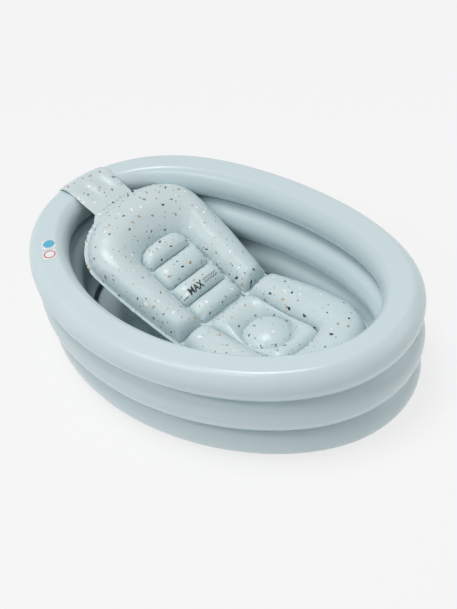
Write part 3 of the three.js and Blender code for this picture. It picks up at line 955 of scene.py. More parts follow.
    @staticmethod
    def spread(points: Array, middle: Array, half: Array, angle: Array) -> Array:
        """Lays a chamber's skin flat: distances round its section become distances in the plane.

        Args:
            points: the skin, as rows of sections.
            middle: middle of each section's span.
            half: half the span of each section, towards its outer edge.
            angle: angle of each point of a section, from its outer edge up.

        Returns:
            Flat coordinates of each point.
        """
        count = len(angle)
        steps = norm(np.roll(points, -1, 1) - points, axis=2)
        run = np.concatenate([np.zeros((len(points), 1)), np.cumsum(steps, axis=1)], axis=1)
        index, here = np.arange(count), run[:, :count]
        top, other, bottom, end = (run[:, [at]] for at in (count // 4, count // 2, 3 * count // 4, count))
        below_out = (here - bottom) * top / np.maximum(end - bottom, 1e-9)
        below_in = -(bottom - here) * (other - top) / np.maximum(bottom - other, 1e-9)
        below = np.where(index >= 3 * count // 4, below_out, below_in)
        reach = np.where(index <= count // 2, top - here, below)
        return middle[:, None, :] + unit(half)[:, None, :] * reach[..., None]

    def horseshoe(self, name: str, plan: Horseshoe, seed: int, gathered: float) -> tuple[Piece, Array]:
        """A horseshoe-shaped bolster that ends bluntly at the crease.

        Args:
            name: name of the piece.
            plan: its plan.
            seed: seed of its folds.
            gathered: how strongly the middle of its round end is gathered, from 0 to 1.

        Returns:
            The bolster and its outer edge.
        """
        outer, inner = self.edges(plan)
        x, y = outer[:, 0], outer[:, 1]
        wedge = np.sqrt(1 - (1 - np.clip((x - plan.margin) / self.blunt, 0.004, 1)) ** 2)
        length = length_of(outer)
        held = np.clip(1.35 - np.abs(y) / 0.055, 0, 1) * (x > plan.widest_at)

        def long_fold(points: Array) -> Array:
            """A shallow fold along the seat's +Y arm."""
            along = ramp(points[..., 0], 0.012, 0.03) * ramp(0.19 - points[..., 0], 0.0, 0.05)
            fold = plan.long_fold * along * bell(points[..., 1], 0.1135, 0.0065)
            return np.where(points[..., 2] > 0, fold, 0.0)

        def strength(place: Array) -> Array:
            """Folds are strongest where the edge curves most, and where the strap gathers the end."""
            from_end = np.abs(place / length - 0.5) * 2
            return 0.34 + 0.5 * bell(from_end, 0.33, 0.17) + gathered * bell(from_end, 0.0, 0.11)

        air = Puffed(
            outer, inner,
            crown=plan.crown * wedge,
            belly=plan.belly * wedge,
            outer_folds=Creases(0.0125, 0.0029, 0.0021, 0.55, seed),
            inner_folds=Creases(0.0135, 0.0019, 0.0024, 0.6, seed + 1),
            slopes=(plan.slopes[0] - 0.55 * gathered * held, plan.slopes[1] - plan.end_slope * ramp(x, 0.20, 0.06)),
            sides=72,
            lumps=0.0009,
            strength=strength,
            extra=long_fold if plan.long_fold else None,
        )
        return self.chamber(name, air), outer

    def film(self, name: str, outline: Array, seed: int, calm: Profile) -> Piece:
        """The welded film: flat under the chambers, with a narrow rippled flange round them.

        Args:
            name: name of the piece.
            outline: edge of the outer chamber, as plan points.
            seed: seed of its ripples.
            calm: from 0 where the flange is held flat to 1 where it ripples freely, for each point.

        Returns:
            The film.
        """
        x, y = outline[:, 0], outline[:, 1]
        along = unit(np.roll(outline, -1, 0) - np.roll(outline, 1, 0))
        side = np.stack([along[:, 1], -along[:, 0]], -1)
        side *= np.sign(np.sum(side * (outline - outline.mean(0)), axis=1, keepdims=True))
        run = run_along(outline)
        random = np.random.default_rng(seed)
        ripple, notch = np.zeros(len(run)), np.zeros(len(run))
        for length, weight in ((0.031, 0.5), (0.017, 0.8), (0.0105, 0.7), (0.0068, 0.4)):
            ripple += weight * np.sin(run * FULL_TURN / length + random.uniform(0, 6.28))
            notch += weight * np.sin(run * FULL_TURN / length * 1.13 + random.uniform(0, 6.28))
        near_strap = ramp(x, 0.22, 0.08) * ramp(x, 0.285, 0.025) * ramp(y, 0.0, 0.02)
        free = calm(outline) * (0.35 + 1.35 * near_strap)
        ripple, notch = ripple * free, notch * free
        reach = x.max() + self.flange + self.head_flange
        flared = 1 - ramp(np.abs(y), 0.052, 0.016) ** 0.6
        tab = np.maximum(reach - (x + self.flange), 0) * flared * (x > 0.30) * (self.head_flange > 0)
        rings = []
        for out, lift in ((1.0, 1.0), (0.62, 0.65), (0.25, 0.25), (-0.3, 0.0)):
            edge = outline + side * (self.flange * out + lift * 0.0007 * notch)[:, None]
            edge[:, 0] += tab * max(out, 0.0)
            rings.append(np.concatenate([edge, (lift * 0.0011 * ripple)[:, None]], -1))
        points = np.concatenate(rings)
        faces = skin_faces(len(rings), len(outline), False, True, False)
        faces.append(tuple(range((len(rings) - 1) * len(outline), len(points))))
        placed = self.wall.kept_clear(self.to_row(points), 0.0012)
        made = mesh_object(name, placed, faces, points[:, :2] + 0.37 * seed)
        thicken(made, "Film", self.film_thickness, 0.0)
        return made

    def pillow(
        self, name: str, ends: tuple[float, float], half_width: float, crown: float, belly: float,
        rounding: Profile, seed: int,
    ) -> Piece:
        """A channel across the back: a long low pillow.

        Args:
            name: name of the piece.
            ends: its edge towards the crease and the one away from it.
            half_width: half its length across the back.
            crown: height of its front.
            belly: depth of its back.
            rounding: how much its far edge draws in at a place across the back.
            seed: seed of its folds.

        Returns:
            The channel.
        """
        near, far = ends
        share = np.clip(np.sin(np.linspace(-1, 1, 120) * math.pi / 2), -0.9997, 0.9997)
        y = share * half_width
        drawn = rounding(y)
        corner = (1 - np.abs(share) ** 9) ** (1 / 4)
        middle = (near + far - drawn) / 2
        half = (far - drawn - near) / 2 * corner
        waist = 1 - 0.02 * np.cos(share * math.pi)
        swell = (1 - np.abs(share) ** 4.2) ** 0.55
        random = np.random.default_rng(seed)
        starts = [(side, random.uniform(-0.75, 0.75), random.uniform(0.4, 1)) for side in (-1, 1) for _ in range(5)]

        def end_folds(points: Array) -> Array:
            """Folds that run in from the two end welds."""
            total = np.zeros(points.shape[:2])
            for side, place, weight in starts:
                line = (near + far) / 2 + place * (far - near) / 2
                inward = half_width - side * points[..., 1]
                spread = 0.0017 + 0.09 * np.clip(inward, 0, None)
                across = ((points[..., 0] - line) / spread) ** 2
                total += weight * 0.0022 * np.exp(-across - (inward / (0.011 + 0.006 * weight)) ** 2)
            return total

        air = Puffed(
            outer=np.stack([middle + half * waist, y], -1),
            inner=np.stack([middle - half * waist, y], -1),
            crown=crown * swell,
            belly=belly * swell,
            outer_folds=Creases(0.0125, 0.0012, 0.0021, 0.6, seed),
            inner_folds=Creases(0.0135, 0.0012, 0.0021, 0.6, seed + 1),
            slopes=(2.25, 2.25),
            sides=48,
            extra=end_folds,
        )
        return self.chamber(name, air)


@dataclass
class BackRest(InsertPart):
    """Backrest: a horseshoe bolster round four channels, with a level mark on the second from the crease.

    Attributes:
        grooves: distances of the channels' welds from the crease.
        plan: plan of the bolster.
        channel_crown: height of a channel's front.
        channel_belly: depth of its back.
        channel_half_width: half its length.
        head_channel_half_width: half the length of the channel nearest the head.
        groove_half_width: half-width of a weld between two channels.
        head_round: how far that channel's corners draw in.
        head_power: how square they are.
    """

    body: Body = Body.BACKREST
    recline: Optional[float] = 26.1
    grooves: tuple[float, ...] = (0.0062, 0.057, 0.108, 0.166, 0.217)
    plan: Horseshoe = Horseshoe(0.1555, 0.233, 0.3412, 1.6, 1.95, 2.55, 0.0640, 0.2195, 0.042, 0.0405, 0.0395)
    head_flange: float = 0.0040
    channel_crown: float = 0.0258
    channel_belly: float = 0.0230
    channel_half_width: float = 0.0632
    head_channel_half_width: float = 0.0600
    groove_half_width: float = 0.0006
    head_round: float = 0.040
    head_power: float = 2.6

    def channel_ends(self, index: int) -> tuple[float, float]:
        """Near and far edge of a channel, counted from the crease."""
        return self.grooves[index] + self.groove_half_width, self.grooves[index + 1] - self.groove_half_width

    def round_head(self, y: Array) -> Array:
        """How much the head channel draws in to follow the round end of the hollow."""
        left = np.clip(1 - np.abs(y / self.plan.well_half_width) ** self.head_power, 0, 1)
        return self.head_round * (1 - left ** (1 / self.head_power))

    def build(self) -> dict[str, Piece]:
        """Builds the backrest's pieces.

        Returns:
            The pieces by the name of the node that each stands for.
        """
        made: dict[str, Piece] = {}
        made["back_bolster"], outline = self.horseshoe("back_bolster_air", self.plan, 11, 0.6)
        head = len(self.grooves) - 2
        for index in range(head + 1):
            node = f"back_channel_{index + 1}"
            half_width = self.head_channel_half_width if index == head else self.channel_half_width
            rounding = self.round_head if index == head else np.zeros_like
            made[node] = self.pillow(
                node + "_air", self.channel_ends(index), half_width, self.channel_crown, self.channel_belly,
                rounding, 40 + 2 * index,
            )

        def calm(points: Array) -> Array:
            """The flange lies flatter under the strap, and flat along the crease."""
            free = np.where(points[:, 0] > 0.30, ramp(np.abs(points[:, 1]), 0.052, 0.02), 1.0)
            return (0.25 + 0.75 * free) * self.off_crease(points)

        made["back_film"] = self.film("back_film_welded", outline, 5, calm)
        return made

    def channel_height(self, x: Array, y: Array) -> Array:
        """Height of the second channel's skin over the welds, at plan points."""
        near, far = self.channel_ends(1)
        share = np.clip(np.abs(y) / self.channel_half_width, 0, 0.999)
        half = (far - near) / 2 * (1 - share**9) ** (1 / 4)
        across = np.clip(np.abs(x - (near + far) / 2) / half, 0, 0.999)
        rise = (1 - across**2.25) ** (1 / 2.25)
        return self.channel_crown * (1 - share**4.2) ** 0.55 * rise

    def build_level_mark(self) -> Piece:
        """The printed level mark on the second channel: a short line, the word MAX and two wavy lines.

        Returns:
            The mark as one thin mesh.
        """
        curve = bpy.data.curves.new("level_word", "FONT")
        curve.body = "MAX"
        curve.size = 0.0222
        curve.offset = 0.0003
        curve.resolution_u = 4
        mesh = plain_mesh(linked("level_word", curve), False)
        shapes = bmesh.new()
        shapes.from_mesh(mesh)
        word_start, word_foot, word_stretch = 0.0410, 0.0662, 0.82
        for vert in shapes.verts:
            vert.co.x = word_start - vert.co.x * word_stretch
            vert.co.y = word_foot + vert.co.y
        for line in self.level_lines():
            shapes.faces.new([shapes.verts.new((x, y, 0.0)) for x, y in line])
        longest_edge, skin_gap = 0.004, 0.0011
        bmesh.ops.triangulate(shapes, faces=shapes.faces)
        long_edges = [e for e in shapes.edges if e.calc_length() > longest_edge]
        bmesh.ops.subdivide_edges(shapes, edges=long_edges, cuts=2)
        plan = np.array([[v.co.y, v.co.x] for v in shapes.verts])
        height = self.channel_height(plan[:, 0], plan[:, 1]) + skin_gap
        for vert, point in zip(shapes.verts, self.to_row(np.column_stack([plan, height]))):
            vert.co = point
        bmesh.ops.recalc_face_normals(shapes, faces=shapes.faces)
        front = Vector(self.matrix().col[2][:3])
        for face in shapes.faces:
            if face.normal.dot(front) < 0:
                face.normal_flip()
        shapes.to_mesh(mesh)
        shapes.free()
        mesh.name = "level_mark"
        made = linked("level_mark", mesh)
        thicken(made, "Ink", 0.0004, -1.0)
        return made

    @staticmethod
    def level_lines() -> list[list[tuple[float, float]]]:
        """Outlines of the mark's lines, across and up the back."""
        lines = [[(0.0622, 0.0680), (0.0465, 0.0680), (0.0465, 0.0693), (0.0622, 0.0693)]]
        start, end, pitch, swing, half_line = -0.0025, -0.0415, 0.0078, 0.0015, 0.0005
        for level in (0.0715, 0.0775):
            xs = np.linspace(start, end, 80)
            wave = np.stack([xs, level + swing * np.sin((xs - start) / pitch * FULL_TURN)], -1)
            up = np.array([0.0, half_line])
            lines.append([*(wave - up).tolist(), *(wave + up)[::-1].tolist()])
        return lines


@dataclass
class SeatPart(InsertPart):
    """Seat: a horseshoe leg bolster round a square pad with a round dome in it.

    Attributes:
        plan: plan of the leg bolster.
        pad_near: distance of the pad's near edge from the crease.
        pad_far: distance of its far edge.
        pad_half_width: half its width.
        pad_power: how square its corners are.
        pad_crown: height of its front.
        pad_belly: depth of its back.
        dome_at: distance of the dome's middle from the crease.
        dome_radius: radius of the dome's weld.
        dome_gap: width of that weld.
        dome_crown: height of the dome's front.
        dome_belly: depth of its back.
        dome_power: squareness of its section.
    """

    body: Body = Body.SEAT
    plan: Horseshoe = Horseshoe(
        0.162, 0.165, 0.3160, 1.6, 2.9, 2.9, 0.0645, 0.2235, 0.020, 0.0405, 0.0378,
        slopes=(2.35, 2.45), end_slope=0.2, long_fold=0.0017,
    )
    pad_near: float = 0.0092
    pad_far: float = 0.2215
    pad_half_width: float = 0.0632
    pad_power: float = 9.0
    pad_crown: float = 0.0275
    pad_belly: float = 0.030
    dome_at: float = 0.124
    dome_radius: float = 0.0515
    dome_gap: float = 0.0010
    dome_crown: float = 0.0262
    dome_belly: float = 0.0325
    dome_power: float = 1.75

    def build(self) -> dict[str, Piece]:
        """Builds the seat's pieces.

        Returns:
            The pieces by the name of the node that each stands for.
        """
        bolster, outline = self.horseshoe("leg_bolster_air", self.plan, 23, 0.0)
        made = {"leg_bolster": bolster, "seat_pad": self.build_pad(), "seat_dome": self.build_dome()}
        made["seat_film"] = self.film("seat_film_welded", outline, 9, self.off_crease)
        return made

    def build_pad(self) -> Piece:
        """The square pad, hollow round the dome."""
        angle = loop_angles(220)
        middle, half = (self.pad_near + self.pad_far) / 2, (self.pad_far - self.pad_near) / 2
        stretch = round_square(angle, self.pad_power)
        outer = np.stack([middle + half * stretch * np.cos(angle), self.pad_half_width * stretch * np.sin(angle)], -1)
        closed = np.vstack([outer, outer[:1]])
        run = run_along(closed)
        outer = picked(np.linspace(0, run[-1], 260, endpoint=False), run, closed)
        bearing = np.arctan2(outer[:, 1], outer[:, 0] - self.dome_at)
        hole = self.dome_radius + self.dome_gap
        inner = np.stack([self.dome_at + hole * np.cos(bearing), hole * np.sin(bearing)], -1)
        swell = np.clip(norm(outer - inner, axis=1) / 0.052, 0.05, 1) ** 0.5
        for _ in range(4):
            swell = (np.roll(swell, 1) + 2 * swell + np.roll(swell, -1)) / 4
        air = Puffed(
            outer, inner,
            crown=self.pad_crown * swell,
            belly=self.pad_belly * swell,
            outer_folds=Creases(0.012, 0.0017, 0.0022, 0.7, 61),
            inner_folds=Creases(0.009, 0.0014, 0.0018, 0.8, 62),
            slopes=(2.2, 1.5),
            loop=True,
        )
        return self.chamber("seat_pad_air", air)

    def build_dome(self) -> Piece:
        """The round dome, folded round its weld."""
        rings, around = 28, 160
        lean = np.linspace(-math.pi / 2, math.pi / 2, 2 * rings + 1)
        from_weld = np.abs(lean) / (math.pi / 2)
        angle = loop_angles(around)
        radius = self.dome_radius * np.clip(np.cos(lean), 0, 1) ** (2 / self.dome_power)
        height = signed_power(np.sin(lean), 2 / self.dome_power) * np.where(lean > 0, self.dome_crown, self.dome_belly)
        plan = np.stack([np.cos(angle), np.sin(angle)], -1)
        points = np.zeros((around, len(lean), 3))
        points[..., 0] = self.dome_at + plan[:, :1] * radius
        points[..., 1] = plan[:, 1:] * radius
        points[..., 2] = height
        weld = angle * self.dome_radius
        depth = Creases(0.0105, 0.0016, 0.0019, 0.55, 71).field(weld, from_weld, float(weld[-1]), full)
        away = unit(points - np.array([self.dome_at, 0.0, 0.0]))
        points = points - away * (depth * np.abs(np.cos(lean)) ** 0.5)[..., None]
        reach = self.dome_radius * 1.15 * (1 - from_weld)
        flat = np.stack([self.dome_at + plan[:, :1] * reach, plan[:, 1:] * reach], -1)
        return grid_piece("seat_dome_air", self.to_row(points), True, flat + 5.3, False)


@dataclass
class CreaseFilm:
    """Film that runs over the crease from the seat to the backrest, with a knurled weld along it.

    Attributes:
        seat: the seat.
        back: the backrest.
        half_width: half the length of the crease.
        reach: how far the film runs to each side of it.
        pitch: distance between two ribs of the weld.
        half_thickness: half the film's thickness.
        bead: height of the weld's bead.
        knurl: height of its ribs.
    """

    seat: SeatPart
    back: BackRest
    half_width: float = 0.1275
    reach: float = 0.0105
    pitch: float = 0.0042
    half_thickness: float = 0.0007
    bead: float = 0.0013
    knurl: float = 0.00035

    def build(self) -> Piece:
        """Builds the strip as a closed skin across the crease."""
        rows, columns = 11, 366
        share = np.linspace(-1, 1, rows)
        y = np.linspace(-self.half_width, self.half_width, columns)
        knurl = self.knurl * np.cos(y / self.pitch * FULL_TURN)
        layers = []
        for face in (1.0, -1.0):
            for s in share if face > 0 else share[::-1]:
                rise = self.bead * math.exp(-((s / 0.22) ** 2))
                high = face * (self.half_thickness + rise + knurl * math.exp(-((s / 0.30) ** 2)))
                local = np.column_stack([np.full(columns, abs(s) * self.reach), y, high])
                layers.append(self.back.to_row(local * np.array([1, -1, 1])) if s > 0 else self.seat.to_row(local))
        section = np.array(layers).transpose(1, 0, 2)
        run = np.linspace(-self.reach, self.reach, len(layers))
        flat = np.stack([np.tile(run, columns), np.repeat(y, len(layers))], -1)
        return grid_piece("crease_film", section, False, flat + 2.2)

    def ends(self) -> tuple[Vector, Vector]:
        """Where the strip starts to follow the seat and the backrest."""
        place = np.array([[self.reach * 0.6, 0.0, 0.0]])
        return Vector(self.seat.to_row(place)[0]), Vector(self.back.to_row(place)[0])


# Strap


@dataclass
class Strap:
    """Strap from the top of the backrest over the top ring.

    Attributes:
        wall: the wall that it lies on.
        back: the backrest that it is welded to.
        lap_from: where its lap on the backrest's flange starts, from the crease.
        lap_to: where that lap ends.
        offset: height of its underside over the top ring.
        touch_angle: angle round the ring where it comes to lie on it, in degrees.
        tail_angle: angle where it ends.
        tail_round: angle by which the tail's corners are cut back.
        patch_from: angle where the hook-and-loop patches start.
        lie: distance from the crease at which it crosses the flange.
        columns: points across it.
    """

    wall: RingWall
    back: BackRest
    lap_from: float = 0.3480
    lap_to: float = 0.3525
    lap_height: float = 0.0003
    thickness: float = 0.0011
    offset: float = 0.0019
    start_x: float = -0.33191
    start_y: float = 0.0332
    tail_x: float = -0.440
    tail_y: float = 0.0365
    half_width: float = 0.0535
    touch_angle: float = 104.0
    tail_angle: float = 27.5
    tail_round: float = 31.0
    patch_from: float = 72.3
    patch_to: float = 40.7
    lie: float = 0.351
    columns: int = 45

    def lines(self) -> tuple[Array, Array]:
        """Plan lines of the strap's columns: their starts and ends."""
        side = np.linspace(-1, 1, self.columns)
        starts = np.stack([np.full_like(side, self.start_x), self.start_y + side * self.half_width], -1)
        ends = np.stack([np.full_like(side, self.tail_x), self.tail_y + side * self.half_width], -1)
        return starts, ends

    def over_ring(self, around: object, offset: float) -> Array:
        """One row of points over the top ring, on the strap's plan lines.

        Args:
            around: angle round the ring's section, in radians, for all columns or for each.
            offset: height above the skin.

        Returns:
            A point for each column.
        """
        starts, ends = self.lines()
        low = np.full(len(starts), math.radians(150.0))
        high = np.full(len(starts), math.radians(210.0))
        rounds = np.broadcast_to(np.asarray(around, float), (len(starts),))

        def side_of(turn: Array) -> Array:
            """Which side of its plan line each point lies on."""
            plan = self.wall.on_top(turn, rounds, offset)[:, :2] - starts
            along = ends - starts
            return plan[:, 0] * along[:, 1] - plan[:, 1] * along[:, 0]

        rising = side_of(high) > side_of(low)
        for _ in range(40):
            middle = (low + high) / 2
            above = (side_of(middle) > 0) == rising
            high = np.where(above, middle, high)
            low = np.where(above, low, middle)
        return self.wall.on_top(low, rounds, offset)

    def on_back(self, at: float, height: float) -> Array:
        """One row of points on the backrest's flange, at a distance from the crease."""
        starts, ends = self.lines()
        inverse = np.array(self.back.matrix().inverted())
        level = np.full((len(starts), 1), self.back.origin[2])
        first, second = (np.hstack([line, level]) @ inverse[:3, :3].T + inverse[:3, 3] for line in (starts, ends))
        slope = (second[:, 1] - first[:, 1]) / (second[:, 0] - first[:, 0])
        y = first[:, 1] + slope * (at - self.lie)
        local = np.column_stack([np.full(len(starts), at), y, np.full(len(starts), height)])
        return self.back.to_row(local)

    def face(self, rise: float, angles: Array) -> Array:
        """One face of the strap, as rows across it from its lap to its tail.

        Args:
            rise: its height over the strap's underside.
            angles: angles round the ring of its rows there.

        Returns:
            The rows.
        """
        lap = np.linspace(self.lap_from, self.lap_to, 5)
        rows = [self.on_back(at, self.lap_height + rise) for at in lap]
        laid = [self.over_ring(angle, self.offset + rise) for angle in angles]
        start = rows[-1]
        rows += [start + (laid[0] - start) * share for share in np.linspace(0, 1, 60)[1:-1]]
        return np.array(rows + laid)

    def build(self) -> Piece:
        """Builds the strap as one welded double film with hems.

        Returns:
            The strap.
        """
        side = np.linspace(-1, 1, self.columns)
        out = np.abs(side)
        hem = -0.00035 * bell(out, 0.91, 0.022)
        edge = np.where(out > 0.985, -0.0003, 0.0)
        cut = 1 - np.sqrt(np.clip(1 - ramp(out, 0.58, 0.42) ** 2, 0, 1))
        tail = np.radians(self.tail_angle) + math.radians(self.tail_round) * cut
        share = np.linspace(0, 1, 40)[:, None]
        angles = math.radians(self.touch_angle) * (1 - share) + tail[None, :] * share
        under, over = self.face(0.0, angles), self.face(self.thickness, angles)
        normals = unit(over - under)
        run = run_along(over[:, self.columns // 2])
        soft = slow_noise(over, 0.035, 3.0) * 0.0007
        fold = 0.0011 * np.sin(side[None, :] * 9 + run[:, None] * 18) * bell(run[:, None], 0.055, 0.030)
        weld = -0.0006 * bell(run, 0.0125, 0.0009) - 0.0010 * np.exp(-run / 0.0012)
        settle = ramp(run, 0.008, 0.02)[:, None] * np.clip((run[-1] - run) / 0.02, 0.2, 1)[:, None]
        lift = (soft + fold) * settle
        over = over + normals * (lift + hem[None, :] + edge[None, :] + weld[:, None])[..., None]
        under = under + normals * np.maximum(lift, -0.0002)[..., None]
        section = np.concatenate([under, over[:, ::-1]], axis=1)
        count = section.shape[1]
        places = np.concatenate([side, side[::-1]]) * self.half_width
        flat = np.stack([np.repeat(run, count), np.tile(places, len(run))], -1) + 7.4
        return grid_piece("strap_film", section, False, flat)

    def build_patch(self, name: str, low: float, high: float, margin: float) -> Piece:
        """One half of the hook-and-loop fastening, between the strap's tail and the ring.

        Args:
            name: name of the piece.
            low: height of its inner face over the ring's skin.
            high: height of its outer face.
            margin: share of the strap's width left free at each side.

        Returns:
            The patch.
        """
        angles = np.radians(np.linspace(self.patch_from, self.patch_to, 24))
        keep = slice(int(self.columns * margin), self.columns - int(self.columns * margin))
        rows = [np.vstack([self.over_ring(a, low)[keep], self.over_ring(a, high)[keep][::-1]]) for a in angles]
        return grid_piece(name, np.array(rows), False)

    def flat_size(self) -> tuple[float, float]:
        """Width and length of the strap before it was laid over the ring."""
        middle = self.columns // 2
        angles = np.radians(np.linspace(self.touch_angle, self.tail_angle, 30))
        rows = [self.on_back(at, self.lap_height)[middle] for at in (self.lap_from, self.lap_to)]
        rows += [self.over_ring(angle, self.offset)[middle] for angle in angles]
        tail = self.over_ring(math.radians(60), self.offset)
        start = self.on_back(self.lap_to, self.lap_height)
        return (length_of(tail) + length_of(start)) / 2, length_of(np.array(rows))


# Floor mat


@dataclass
class FloorMat:
    """Inflated floor mat with rows of round welds and a well for the drain.

    Attributes:
        wall: the wall that it lies in.
        inset: how far its edge lies in from the oval.
        low: height of its underside.
        high: height of its top.
        edge_round: width over which its edges swell.
        well: middle and radius of the drain's well.
        spot_step: distance between two round welds.
        spot_radius: radius of a round weld's flat.
        spot_reach: how far the dip round a weld runs.
        spot_depth: share of the mat's half-height that a weld draws in.
        row_pitch: distance between two rows of welds, as a share of the step.
    """

    wall: RingWall
    inset: float = 0.0656
    low: float = 0.0018
    high: float = 0.0238
    edge_round: float = 0.017
    well: Point = (-0.285, 0.020, 0.030)
    spot_step: float = 0.088
    spot_radius: float = 0.010
    spot_reach: float = 0.034
    spot_depth: float = 0.82
    row_pitch: float = 0.87

    def spots(self) -> list[tuple[float, float]]:
        """Centres of the round welds, in staggered rows."""
        made = []
        line = self.wall.oval.point(loop_angles(360))
        rows = int(0.40 / (self.spot_step * self.row_pitch)) + 2
        for row in range(-rows // 2, rows // 2 + 1):
            for column in range(-5, 6):
                x = (column + 0.5 * (row % 2)) * self.spot_step
                y = row * self.spot_step * self.row_pitch
                inset = float(np.min(norm(line - np.array([x, y]), axis=1)))
                inside = (x / 0.42) ** 2 + (y / 0.24) ** 2 < 1
                clear = math.hypot(x - self.well[0], y - self.well[1]) > self.well[2] + 0.025
                if inside and inset > self.inset + 0.03 and clear:
                    made.append((x, y))
        return made

    def build(self) -> Piece:
        """Builds the mat.

        Returns:
            The mat.
        """
        turns = loop_angles(240)
        centre = np.array(self.well[:2])
        outer = self.wall.oval.point(turns, self.inset)
        bearing = np.arctan2(outer[:, 1] - centre[1], outer[:, 0] - centre[0])
        inner = centre + self.well[2] * np.stack([np.cos(bearing), np.sin(bearing)], -1)
        rim = 0.08
        outside, inside = np.linspace(0, 1, 14) ** 2 * rim, 1 - np.linspace(1, 0, 14) ** 2 * rim
        shares = np.concatenate([outside, np.linspace(rim, 0.92, 90)[1:-1], inside])
        plan = outer[:, None, :] + (inner - outer)[:, None, :] * shares[None, :, None]
        from_edge = norm(plan - outer[:, None, :], axis=2)
        from_well = norm(plan - inner[:, None, :], axis=2)
        near = np.minimum(np.minimum(from_edge, from_well) / self.edge_round, 1)
        swell = np.sqrt(np.clip(1 - (1 - near) ** 2, 0, 1))
        dip = np.zeros(plan.shape[:2])
        for x, y in self.spots():
            gap = ramp(np.hypot(plan[..., 0] - x, plan[..., 1] - y), self.spot_radius, self.spot_reach)
            dip = np.maximum(dip, (1 - np.sqrt(1 - (1 - gap) ** 2)) * self.spot_depth)
        half = (self.high - self.low) / 2
        middle = self.low + half
        top = np.concatenate([plan, (middle + half * swell * (1 - dip))[..., None]], -1)
        bottom = np.concatenate([plan, (middle - half * swell)[..., None]], -1)
        section = np.concatenate([top, bottom[:, ::-1][:, 1:-1]], axis=1)
        return grid_piece("floor_mat_air", section, True)


# Finishes


